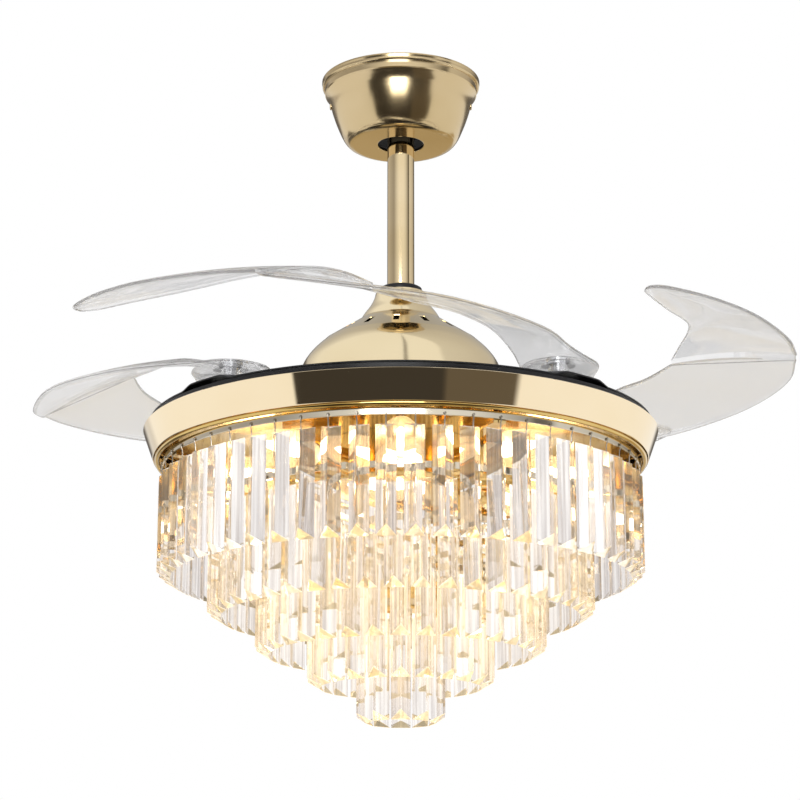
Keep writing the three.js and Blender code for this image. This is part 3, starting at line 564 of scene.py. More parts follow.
def clean(thing: Thing, sharp: float | None) -> None:
    """Merge doubles, turn the faces outwards and set the shading.

    Args:
        thing: the object.
        sharp: angle in degrees past which an edge stays sharp, or None for flat faces.
    """
    shape = bmesh.new()
    shape.from_mesh(thing.data)
    bmesh.ops.remove_doubles(shape, verts=shape.verts, dist=1e-6)
    bmesh.ops.dissolve_degenerate(shape, edges=shape.edges, dist=1e-7)
    bmesh.ops.recalc_face_normals(shape, faces=shape.faces)
    for face in shape.faces:
        face.smooth = sharp is not None
    if sharp is not None:
        limit = math.radians(sharp)
        for edge in shape.edges:
            edge.smooth = len(edge.link_faces) == 2 and edge.calc_face_angle(0.0) < limit
    shape.to_mesh(thing.data)
    shape.free()


def lathe(name: str, outline: Outline, segments: int) -> Thing:
    """Turn a closed (radius, height) outline about Z.

    Args:
        name: the object's name.
        outline: corners round the section.
        segments: steps round the axis.

    Returns:
        The object.
    """
    points, rings, faces = [], [], []
    for radius, height in braced(outline):
        count = segments if radius > TINY else 1
        rings.append((len(points), count))
        for step in range(count):
            turn = 2 * math.pi * step / segments
            points.append((radius * math.cos(turn), radius * math.sin(turn), height))
    for (start, count), (after, after_count) in zip(rings, [*rings[1:], rings[0]]):
        for step in range(segments if count + after_count > 2 else 0):
            follow = (step + 1) % segments
            corners = [start + step % count, start + follow % count,
                       after + follow % after_count, after + step % after_count]
            faces.append(tuple(dict.fromkeys(corners)))
    return from_lists(name, points, faces)


def spindle(name: str, outline: Outline, segments: int) -> Thing:
    """Turn an outline as lathe() does, but about X.

    Args:
        name: the object's name.
        outline: corners round the section.
        segments: steps round the axis.

    Returns:
        The object.
    """
    thing = lathe(name, outline, segments)
    thing.data.transform(turned(90, "Y"))
    return thing


def sweep(name: str, path: Sequence[Vector], radius: float, sides: int) -> Thing:
    """Run a round wire along a path.

    Args:
        name: the object's name.
        path: points along the wire's middle.
        radius: the wire's radius.
        sides: its number of sides.

    Returns:
        The object.
    """
    points, normal, last = [], Vector((0.0, 1.0, 0.0)), len(path) - 1
    for place, point in enumerate(path):
        along = (path[min(place + 1, last)] - path[max(place - 1, 0)]).normalized()
        normal = (normal - along * normal.dot(along)).normalized()
        other = along.cross(normal)
        for side in range(sides):
            turn = 2 * math.pi * side / sides
            points.append(point + (normal * math.cos(turn) + other * math.sin(turn)) * radius)
    ends = [tuple(reversed(range(sides))), tuple(range(last * sides, len(path) * sides))]
    return from_lists(name, points, bands(len(path), sides) + ends, 60.0)


def block(name: str, low: Sequence[float], high: Sequence[float]) -> Thing:
    """Make a box for cutting.

    Args:
        name: the object's name.
        low: its lowest corner.
        high: its highest corner.

    Returns:
        The box.
    """
    points = [(x, y, z) for z in (low[2], high[2]) for y in (low[1], high[1]) for x in (low[0], high[0])]
    faces = [(0, 2, 3, 1), (4, 5, 7, 6), (0, 1, 5, 4), (2, 6, 7, 3), (0, 4, 6, 2), (1, 3, 7, 5)]
    return from_lists(name, points, faces, None)


def settle(thing: Thing) -> None:
    """Turn an object with live modifiers into a plain mesh.

    Args:
        thing: the object.
    """
    graph = bpy.context.evaluated_depsgraph_get()
    graph.update()
    source = thing.evaluated_get(graph)
    made = bpy.data.meshes.new_from_object(source, preserve_all_data_layers=True, depsgraph=graph)
    thing.modifiers.clear()
    thing.data = made


def cut(thing: Thing, cutter: Thing, operation: str = "DIFFERENCE", sharp: float = 32.0) -> Thing:
    """Cut, join or trim one closed mesh with another.

    Args:
        thing: the mesh that stays.
        cutter: the mesh that is used up.
        operation: the Boolean modifier's operation.
        sharp: angle for the sharp edges of the result.

    Returns:
        The mesh that stays.
    """
    modifier = thing.modifiers.new("cut", "BOOLEAN")
    modifier.operation = operation
    modifier.solver = "EXACT"
    modifier.object = cutter
    settle(thing)
    clean(thing, sharp)
    bpy.data.objects.remove(cutter)
    return thing


class RingArray:
    """Geometry Nodes tree that sets copies of a template on a circle about Z, each facing outwards."""

    INPUTS = {"Template": "Object", "Finish": "Material", "Count": "Int", "Radius": "Float", "Height": "Float",
              "First turn": "Float", "Twist": "Float", "Seed": "Int"}

    def __init__(self, name: str) -> None:
        """Build the tree.

        Args:
            name: the node group's name.
        """
        self.tree = bpy.data.node_groups.new(name, "GeometryNodeTree")
        self.tree.is_modifier = True
        face = self.tree.interface
        face.new_socket("Geometry", in_out="OUTPUT", socket_type="NodeSocketGeometry")
        for label, kind in self.INPUTS.items():
            face.new_socket(label, in_out="INPUT", socket_type=f"NodeSocket{kind}")
        sheet = NodeSheet(self.tree)
        given = sheet.add("NodeGroupInput").outputs
        pitch = sheet.math("DIVIDE", 2 * math.pi, given["Count"])
        steps = sheet.math("MULTIPLY", sheet.out("GeometryNodeInputIndex"), pitch)
        turn = sheet.math("ADD", steps, given["First turn"])
        spot = sheet.out("ShaderNodeCombineXYZ", {
            "X": sheet.math("MULTIPLY", sheet.math("COSINE", turn), given["Radius"]),
            "Y": sheet.math("MULTIPLY", sheet.math("SINE", turn), given["Radius"]),
            "Z": given["Height"],
        })
        chance = sheet.add("FunctionNodeRandomValue", data_type="FLOAT")
        free = {socket.name: number for number, socket in enumerate(chance.inputs) if socket.enabled}
        sheet.feed(chance, {free["Min"]: sheet.math("MULTIPLY", given["Twist"], -1.0),
                            free["Max"]: given["Twist"], free["Seed"]: given["Seed"]})
        drawn = next(socket for socket in chance.outputs if socket.enabled)
        facing = sheet.out("ShaderNodeCombineXYZ", {"Z": sheet.math("ADD", turn, drawn)})
        copies = sheet.out("GeometryNodeInstanceOnPoints", {
            "Points": sheet.out("GeometryNodePoints", {"Count": given["Count"], "Position": spot}),
            "Instance": sheet.add("GeometryNodeObjectInfo", {"Object": given["Template"]}).outputs["Geometry"],
            "Rotation": sheet.out("FunctionNodeEulerToRotation", {0: facing}),
        })
        real = sheet.out("GeometryNodeRealizeInstances", {0: copies})
        dressed = sheet.out("GeometryNodeSetMaterial", {"Geometry": real, "Material": given["Finish"]})
        sheet.add("NodeGroupOutput", {0: dressed})

    def make(self, name: str, template: Thing, finish: Finish, count: int, radius: float, height: float,
             first_turn: float, twist: float = 0.0, seed: int = 1) -> Thing:
        """Set the copies out and turn them into one plain mesh.

        Args:
            name: the new object's name.
            template: the mesh to copy, which is used up.
            finish: the finish of every copy.
            count: how many copies.
            radius: the circle's radius.
            height: the circle's height under the ceiling.
            first_turn: place of the first copy, in degrees.
            twist: largest chance turn of a copy about its own middle, in degrees.
            seed: start of the chance turns.

        Returns:
            The object.
        """
        thing = linked(name, bpy.data.meshes.new(name))
        modifier = thing.modifiers.new("ring", "NODES")
        modifier.node_group = self.tree
        values = dict(zip(self.INPUTS, (template, finish.material(), count, radius * MM, height * MM,
                                        math.radians(first_turn), math.radians(twist), seed)))
        for item in self.tree.interface.items_tree:
            if item.in_out == "INPUT":
                modifier[item.identifier] = values[item.name]
        settle(thing)
        bpy.data.objects.remove(template)
        return thing


RING_ARRAY = RingArray("ring_of_copies")


# Sub-assemblies


class SubAssembly:
    """What every sub-assembly does with a finished piece."""

    body: Body = Body.DROP

    def place(self, thing: Thing, finish: Finish, slot: Slot, *nodes: str, body: str = "") -> None:
        """Dress a piece, let it ride on its body and stand for its nodes.

        Args:
            thing: the piece.
            finish: its finish.
            slot: the record's slot it belongs to; not used.
            nodes: names of the solids it stands for.
            body: the body's name, where it isn't the sub-assembly's own.
        """
        thing.data.materials.clear()
        thing.data.materials.append(finish.material())
        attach(thing, body or self.body.value)
        if nodes:
            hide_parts(*nodes)
        LOG.info("%s rides on %s, %d faces", thing.name, body or self.body.value, len(thing.data.polygons))


@dataclass
class CeilingMount(SubAssembly):
    """Bowl canopy, a black lining inside it that paints the shade within the bowl, and its two side screws."""

    radius: float = 79.0
    depth: float = 66.0
    sheet: float = 1.2
    hole: float = 23.0
    screw_depth: float = 25.0
    screw_seat: float = 70.6
    screw_head: float = 3.5
    lip: tuple = ((0.0, 1.0), (1.6, 1.0), (2.6, 0.9955), (5.0, 0.995), (5.9, 0.985), (6.7, 0.968), (8.6, 0.964),
                  (12.8, 0.962), (13.8, 0.95))
    bowl: tuple = ((75.0, 13.8), (72.4, 18.2), (70.6, 22.6), (68.4, 31.0), (63.4, 45.4), (56.6, 60.0),
                   (52.0, 64.6), (47.6, 66.0))
    # Section of a black sheet just inside the bowl: painted shade for the bowl's dark inside.
    shade_coat: tuple = ((72.8, -14.0), (61.6, -45.4), (54.6, -60.0), (23.2, -63.1), (23.2, -62.7), (54.2, -59.4),
                   (61.2, -45.2), (72.4, -14.0))
    body = Body.CEILING

    def canopy(self) -> Thing:
        """Turn the bowl with its two-step lip.

        Returns:
            The bowl.
        """
        wall = [(self.radius * share, -depth) for depth, share in self.lip]
        wall += [(radius, -depth) for radius, depth in smooth_outline(self.bowl, 34)]
        floor = -self.depth
        hole = [(self.hole + 1.0, floor), (self.hole, floor + 0.4), (self.hole, floor + self.sheet)]
        inner = [(max(r, self.hole), z) for r, z in inset(wall, self.sheet)]
        inner = [(r, min(z + 2 * self.sheet, 0.0) if z < -self.depth * 0.97 else z) for r, z in inner]
        inner[0] = (self.radius - self.sheet, 0.0)
        return lathe("canopy_bowl", [*wall, *hole, *reversed(inner)], 160)

    def screw(self, name: str, side: float) -> Thing:
        """Make a pan-head screw with a cross recess, lying along X.

        Args:
            name: the object's name.
            side: 1 for the right screw, -1 for the left.

        Returns:
            The screw.
        """
        head = self.screw_head
        outline = [(0.0, -2.6), (2.0, -2.6), (2.0, -1.0), (head, -1.0), (head, -0.3), (head * 0.86, 0.3),
                   (head * 0.5, 0.6), (0.0, 0.7)]
        screw = lathe(name, outline, 32)
        for turn in (0.0, 90.0):
            recess = block("recess", (-2.0, -0.45, -0.3), (2.0, 0.45, 3.0))
            recess.data.transform(turned(turn, "Z"))
            cut(screw, recess)
        seat = Matrix.Translation(Vector((side * self.screw_seat, 0.0, -self.screw_depth)) * MM)
        screw.data.transform(seat @ turned(90.0 * side, "Y"))
        return screw

    def build(self) -> None:
        """Make and place the pieces at the ceiling."""
        self.place(self.canopy(), SATIN_GOLD, Slot.SATIN_GOLD, "canopy")
        # The black lining is painted shade inside the bowl.
        self.place(lathe("canopy_lining", self.shade_coat, 96), NYLON, Slot.BLACK, "canopy")
        self.place(self.screw("canopy_right_screw", 1.0), SATIN_GOLD, Slot.SATIN_GOLD, "canopy_screw_1")
        self.place(self.screw("canopy_left_screw", -1.0), SATIN_GOLD, Slot.SATIN_GOLD, "canopy_screw_2")


@dataclass
class DownRod(SubAssembly):
    """Tube between ceiling and motor, with the black collar at its foot."""

    radius: float = 13.35
    wall: float = 2.0
    top: float = -14.0
    foot: float = -258.5
    edge: float = 0.5
    collar_radius: float = 21.0
    collar_foot: float = 168.3
    collar_height: float = 9.7

    def build(self) -> None:
        """Make and place the tube and the collar."""
        rod = tube(self.radius - self.wall, self.radius, self.foot, self.top, self.edge)
        self.place(lathe("rod_tube", rod, 96), ROD_GOLD, Slot.SATIN_GOLD, "downrod")
        wide, foot, top = self.collar_radius, self.collar_foot, self.collar_foot + self.collar_height
        bore = self.radius + 0.3
        collar = [(bore, foot), (wide, foot), (wide, top - 3.2), (wide - 0.5, top - 1.4), (wide - 2.2, top - 0.3),
                  (wide - 4.0, top), (bore + 0.6, top), (bore, top - 0.6)]
        self.place(lathe("rod_collar_ring", lifted(collar), 96), BLACK, Slot.BLACK, "rod_collar")


@dataclass
class MotorDome(SubAssembly):
    """Spun dome over the motor, with vents round its shoulder."""

    sheet: float = 0.9
    vents: int = 14
    vent_width: float = 5.6
    vent_run: float = 15.0
    vent_depth: float = 20.0
    vent_level: float = 130.0
    vent_radius: float = 60.0
    first_vent: float = 8.9
    body_line: tuple = ((98.0, 42.0), (100.9, 50.0), (101.5, 61.0), (101.3, 72.0), (98.6, 86.0), (94.7, 98.0),
                        (86.9, 109.0), (75.5, 120.0))
    neck_line: tuple = ((39.5, 143.5), (35.7, 150.0), (29.9, 158.0), (26.0, 166.0), (24.6, 171.3))

    def shell(self) -> Thing:
        """Turn the dome and cut its vents.

        Returns:
            The dome.
        """
        line = [*smooth_outline(self.body_line, 50), *smooth_outline(self.neck_line, 24)]
        inner = inset(line, self.sheet)
        inner[0] = (line[0][0] - self.sheet, line[0][1])
        inner[-1] = (line[-1][0] - self.sheet * 0.5, line[-1][1])
        dome = lathe("dome_shell", lifted([*line, *reversed(inner)]), 200)
        corner = Vector((self.vent_run, self.vent_width, self.vent_depth)) / 2
        slots = RING_ARRAY.make("vent_slots", block("vent_slot", -corner, corner), STEEL, self.vents,
                                self.vent_radius, over_band(self.vent_level), self.first_vent)
        return cut(dome, slots, sharp=40.0)

    def build(self) -> None:
        """Make and place the dome."""
        self.place(self.shell(), DOME_GOLD, Slot.POLISHED_GOLD, "motor_dome")


@dataclass
class BladePivots:
    """Where the four blades turn, seen from the fan's axis."""

    radius: float = 210.6
    first_turn: float = 222.7
    count: int = 4

    def spot(self, number: int) -> tuple[float, float]:
        """Return the (x, y) of one pivot, numbered from 0."""
        turn = math.radians(self.first_turn + 360.0 / self.count * number)
        return self.radius * math.cos(turn), self.radius * math.sin(turn)

    def turn_part(self, name: str, outline: Outline, segments: int = 48, number: int = 0) -> Thing:
        """Turn an outline, given over the band, about a pivot.

        Args:
            name: the object's name.
            outline: corners round the section.
            segments: steps round the pivot.
            number: the pivot's number.

        Returns:
            The object.
        """
        part = lathe(name, lifted(outline), segments)
        part.data.transform(Matrix.Translation(Vector((*self.spot(number), 0.0)) * MM))
        return part

    def drill(self, radius: float, foot: float, top: float, number: int = 0) -> Thing:
        """Make a cylinder about a pivot, for cutting."""
        outline = [(0.0, foot), (radius, foot), (radius, top), (0.0, top)]
        return self.turn_part("drill", outline, number=number)


PIVOTS = BladePivots()


@dataclass
class RotorDisc(SubAssembly):
    """Black disc: a flat tray below, and a cover with four raised bosses."""

    radius: float = 242.0
    sheet: float = 1.5
    foot: float = 28.1
    rim: float = 35.0
    top: float = 39.5
    bore: float = 60.0
    plateau: float = 203.0
    plateau_foot: float = 226.0
    boss: float = 37.0
    boss_foot: float = 45.0
    sleeve: float = 14.9
    blend: float = 1.2
    segments: int = 360
    coarse_step: float = 9.0
    coarse_rings: int = 10
    fine_step: float = 1.55
    fine_rings: int = 62
    tray_hole: float = 30.0
    rib: float = 146.5
    rib_height: float = 4.8
    neck_top: float = 37.7
    wall: float = 2.5
    bolt_seat: float = 57.4
    bolt_shank: float = 6.0
    bolt_head: float = 11.0
    bolt_head_height: float = 4.0
    body = Body.ROTOR

    def height(self, x: float, y: float) -> float:
        """Give the cover's top over the band at one place.

        Args:
            x: millimetres from the axis.
            y: millimetres from the axis.

        Returns:
            The height, with the bosses softly joined in.
        """
        reach, rise = math.hypot(x, y), self.top - self.rim
        share = min(max((self.plateau_foot - reach) / (self.plateau_foot - self.plateau), 0.0), 1.0)
        ground = self.rim + rise * share * share * (3 - 2 * share)
        near = min(math.dist((x, y), PIVOTS.spot(k)) for k in range(PIVOTS.count))
        slope = min(max((self.boss_foot - near) / (self.boss_foot - self.boss), 0.0), 1.0)
        raised = self.rim + rise * slope
        lift = max(0.0, self.blend - abs(ground - raised)) ** 2 / (4 * self.blend)
        return min(max(ground, raised) + lift, self.top)

    def cover(self) -> Thing:
        """Raise the cover over a polar grid and cut the sleeve holes.

        Returns:
            The cover.
        """
        rings = [self.bore + step * self.coarse_step for step in range(self.coarse_rings + 1)]
        rings += [rings[-1] + step * self.fine_step for step in range(1, self.fine_rings + 1)]
        rings = [r for r in rings if r < self.radius - 1.2] + [self.radius - 1.0, self.radius - 0.3, self.radius]
        points, count = [], self.segments
        for side in (0.0, self.sheet):
            for reach in rings:
                for step in range(count):
                    turn = 2 * math.pi * step / count
                    x, y = reach * math.cos(turn), reach * math.sin(turn)
                    soft = 0.5 if reach == self.radius and not side else 0.0
                    points.append((x, y, over_band(self.height(x, y) - side - soft)))
        size = len(rings) * count
        faces = [*bands(len(rings), count), *bands(len(rings), count, size)]
        faces += [*bands(2, count, 0, size), *bands(2, count, size - count, size)]
        cover = from_lists("disc_top_cover", points, faces, 40.0)
        for number in range(PIVOTS.count):
            cut(cover, PIVOTS.drill(self.sleeve, self.foot, self.top + 5, number), sharp=40.0)
        return cover

    def tray(self) -> Thing:
        """Turn the tray under the cover.

        Returns:
            The tray.
        """
        wide, foot, neck, rib = self.radius, self.foot, self.bore + self.wall, self.rib + self.wall
        floor, rim = self.foot + self.sheet, self.rim - self.sheet - 0.3
        outline = [(self.tray_hole, foot), (wide - 1.2, foot), (wide - 0.3, foot + 0.4), (wide, foot + 1.3),
                   (wide, rim), (wide - self.wall, rim), (wide - self.wall, floor), (rib, floor),
                   (rib, floor + self.rib_height), (self.rib, floor + self.rib_height), (self.rib, floor),
                   (neck, floor), (neck, self.neck_top), (self.bore, self.neck_top), (self.bore, floor),
                   (self.tray_hole, floor)]
        return lathe("disc_under_tray", lifted(outline), 200)

    def bolts(self) -> Thing:
        """Set the four pivot bolts out.

        Returns:
            One mesh of all bolts.
        """
        shank, head, foot, top = self.bolt_shank, self.bolt_head, self.foot - self.bolt_seat, self.bolt_head_height
        outline = [(0.0, foot), (shank, foot), (shank, 0.0), (head - 0.4, 0.0), (head, 0.4), (head, top - 1.0),
                   (head - 0.8, top), (0.0, top)]
        key = [(0.0, 1.6), (4.0, 1.6), (4.0, 6.0), (0.0, 6.0)]
        bolt = cut(lathe("pivot_bolt", outline, 48), lathe("key_socket", key, 6))
        return RING_ARRAY.make("pivot_bolts", bolt, STEEL, PIVOTS.count, PIVOTS.radius, over_band(self.bolt_seat),
                               PIVOTS.first_turn)

    def build(self) -> None:
        """Make and place the disc and its bolts."""
        self.place(self.cover(), BLACK, Slot.BLACK, "disc_cover")
        self.place(self.tray(), BLACK, Slot.BLACK, "blade_disc")
        self.place(self.bolts(), BOLT, Slot.STEEL, *(f"pivot_bolt_{k}" for k in range(1, 5)))


@dataclass
class FoldingBlade(SubAssembly):
    """Clear blade: two cambered halves that meet in a crease, on a round hub.

    Each point of an edge is (degrees swept, share of reach, share of rise).
    """

    reach: float = 389.6
    rise: float = 61.3
    seat: float = 40.1
    sheet_root: float = 4.2
    sheet_tip: float = 3.0
    camber: float = 4.0
    crown_width: float = 60.0
    hub: float = 36.0
    hub_height: float = 17.0
    hub_flat: float = 0.45
    hub_wall: float = 10.0
    stations: int = 44
    bolt_hole: float = 6.5
    pocket: float = 11.4
    sharp: float = 26.0
    droops: tuple = (-0.35, 0.3, 0.5, 0.0)
    droop_turn: float = 61.0
    root_outer: tuple = ((-9.66, 0.5567, 0.19), (-7.86, 0.593, 0.2), (-4.31, 0.6235, 0.21), (0.5, 0.638, 0.225),
                         (7, 0.66, 0.27), (17, 0.742, 0.29), (36, 0.8626, 0.386), (52.7, 0.955, 0.455),
                         (60, 0.982, 0.56))
    tip_outer: tuple = ((61, 0.985, 0.62), (67, 0.9915, 0.658), (78.1, 0.9868, 0.721), (87, 0.971, 0.765),
                        (92.5, 0.952, 0.795), (94.7, 0.938, 0.812), (95.5, 0.924, 0.822), (95.8, 0.91, 0.829))
    root_inner: tuple = ((-9.95, 0.5405, 0.19), (-9.33, 0.5003, 0.2), (-5.82, 0.4618, 0.21), (0.5, 0.443, 0.225),
                         (10.4, 0.485, 0.44), (19.4, 0.53, 0.64), (29.3, 0.562, 0.785), (39, 0.613, 0.812),
                         (48, 0.67, 0.88))
    tip_inner: tuple = ((48, 0.672, 0.96), (53, 0.696, 1.1), (58, 0.7189, 1.156), (69, 0.755, 1.07),
                        (81, 0.7807, 0.9916), (91, 0.838, 0.915), (94.4, 0.873, 0.862), (95.7, 0.9, 0.835))

    def edges(self) -> tuple[list[Vector], list[Vector]]:
        """Run both edges from root to tip.

        Returns:
            The outer and the inner edge's points.
        """
        halves = []
        for shares in (self.root_outer, self.tip_outer, self.root_inner, self.tip_inner):
            corners = [on_circle(far * self.reach, PIVOTS.first_turn - swept, over_band(self.seat + high * self.rise))
                       for swept, far, high in shares]
            halves.append(curve_through(corners, self.stations))
        return halves[0] + halves[1], halves[2] + halves[3]

    def section(self, width: float) -> list[float]:
        """Space the points of one section closely at its rounded edges.

        Args:
            width: the section's width.

        Returns:
            The points' distances from the outer edge.
        """
        soft = self.sheet_root / 2
        near = [0.0, 0.12 * soft, 0.4 * soft, soft, 2.2 * soft]
        room = width - 4.4 * soft
        middle = [2.2 * soft + room * step / 10 for step in range(1, 10)]
        return [*near, *middle, *(width - d for d in reversed(near))]

    def sheet(self) -> Thing:
        """Loft the blade's skin as one closed shell with rounded edges.

        Returns:
            The shell.
        """
        outer, inner = self.edges()
        points, last = [], len(outer) - 1
        for place, (start, end) in enumerate(zip(outer, inner)):
            across, before, after = end - start, max(place - 1, 0), min(place + 1, last)
            width, share = across.length, place / last
            up = across.cross(outer[after] - outer[before] + inner[after] - inner[before]).normalized()
            up = up if up.z > 0 else -up
            half = (self.sheet_root + (self.sheet_tip - self.sheet_root) * share) / 2
            crown = self.camber * min(1.0, 2 * share, width / self.crown_width)
            full = max(width, self.sheet_root * 2.3)
            top, under = [], []
            for distance in self.section(full):
                t = min(distance / full, 1.0)
                edge = min(t, 1 - t) * width
                thick = half * math.sqrt(max(0.0, 1 - (1 - min(1.0, edge / half)) ** 2))
                middle = start + across * t + Vector((0.0, 0.0, crown * 4 * t * (1 - t)))
                top.append(middle + up * thick)
                under.append(middle - up * thick)
            points += [*top, *reversed(under[1:-1])]
        count = len(points) // (last + 1)
        faces = bands(last + 1, count)
        for start in (0, len(points) - count):
            for step in range(count // 2):
                far = (start + (count - step - 1) % count, start + (count - step) % count)
                faces.append(tuple(dict.fromkeys((start + step, start + step + 1, *far))))
        return from_lists("blade_skin", points, faces, self.sharp)

    def moulding(self) -> Thing:
        """Join the shell to its hub, and bore it.

        Returns:
            The first blade.
        """
        foot, top = self.seat, self.seat + self.hub_height
        side = [(self.hub - 6.5, foot), (self.hub - 5.5, foot + 0.8), (self.hub - 4.6, foot + 3.0),
                (self.hub - 2.6, foot + 6.5)]
        rise, flat, wall = self.hub_height - self.hub_wall, self.hub * self.hub_flat, foot + self.hub_wall
        turns = [math.radians(step * 7.5) for step in range(13)]
        dish = [(flat + (self.hub - flat) * math.cos(a), wall + rise * math.sin(a)) for a in turns]
        hub = PIVOTS.turn_part("blade_hub", [(0.0, foot), *side, *dish, (0.0, top)], 96)
        blade = cut(self.sheet(), hub, "UNION", self.sharp)
        cut(blade, PIVOTS.drill(self.bolt_hole, foot - 3, top + 1), sharp=self.sharp)
        return cut(blade, PIVOTS.drill(self.pocket, top, top + self.rise), sharp=self.sharp)

    def painted_edge_lines(self) -> Thing:
        """Run grey lines along the edges, the crease and the tip: painted shade for the dark edges that thick clear
        sheet shows.

        Returns:
            One mesh of all lines.
        """
        outer, inner = self.edges()
        half = self.stations
        lines = [(outer[:half], 0.5), (outer[half:], 1.2), (inner[:half], 0.8), (inner[half:], 0.5),
                 ([outer[half - 1].lerp(inner[half - 1], step / 8) for step in range(9)], 0.55),
                 ([outer[-1].lerp(inner[-1], step / 2) for step in range(3)], 0.8)]
        points, faces = [], []
        for number, (path, radius) in enumerate(lines):
            wire = sweep(f"rim_{number}", path, radius, 8)
            faces += [tuple(len(points) + v for v in face.vertices) for face in wire.data.polygons]
            points += [v.co / MM for v in wire.data.vertices]
            bpy.data.objects.remove(wire)
        return from_lists("blade_rims", points, faces, 60.0)

    def droop(self, degrees: float) -> Matrix:
        """Let the first blade sag about its hub.

        Args:
            degrees: how far.

        Returns:
            The turn.
        """
        hub = Vector((*PIVOTS.spot(0), over_band(self.seat) + self.hub_height / 2)) * MM
        away = on_circle(self.reach, PIVOTS.first_turn - self.droop_turn) * MM - hub
        axis = Vector((0.0, 0.0, 1.0)).cross(Vector((away.x, away.y, 0.0)).normalized())
        return Matrix.Translation(hub) @ turned(degrees, axis) @ Matrix.Translation(-hub)

    def build(self) -> None:
        """Make and place the four blades, each with its own slight droop."""
        for first, finish, name in ((self.moulding(), ACRYLIC, "clear_blade"), (self.painted_edge_lines(), EDGE_SHADE_ACRYLIC, "blade_rims")):
            for number, droop in enumerate(self.droops):
                blade = linked(f"{name}_{number + 1}", first.data.copy())
                blade.data.transform(self.droop(droop))
                blade.data.transform(turned(90.0 * number, "Z"))
                arm = f"{Body.ARM.value}{number + 1}"
                self.place(blade, finish, Slot.ACRYLIC, f"blade_{number + 1}", body=arm)
            bpy.data.objects.remove(first)


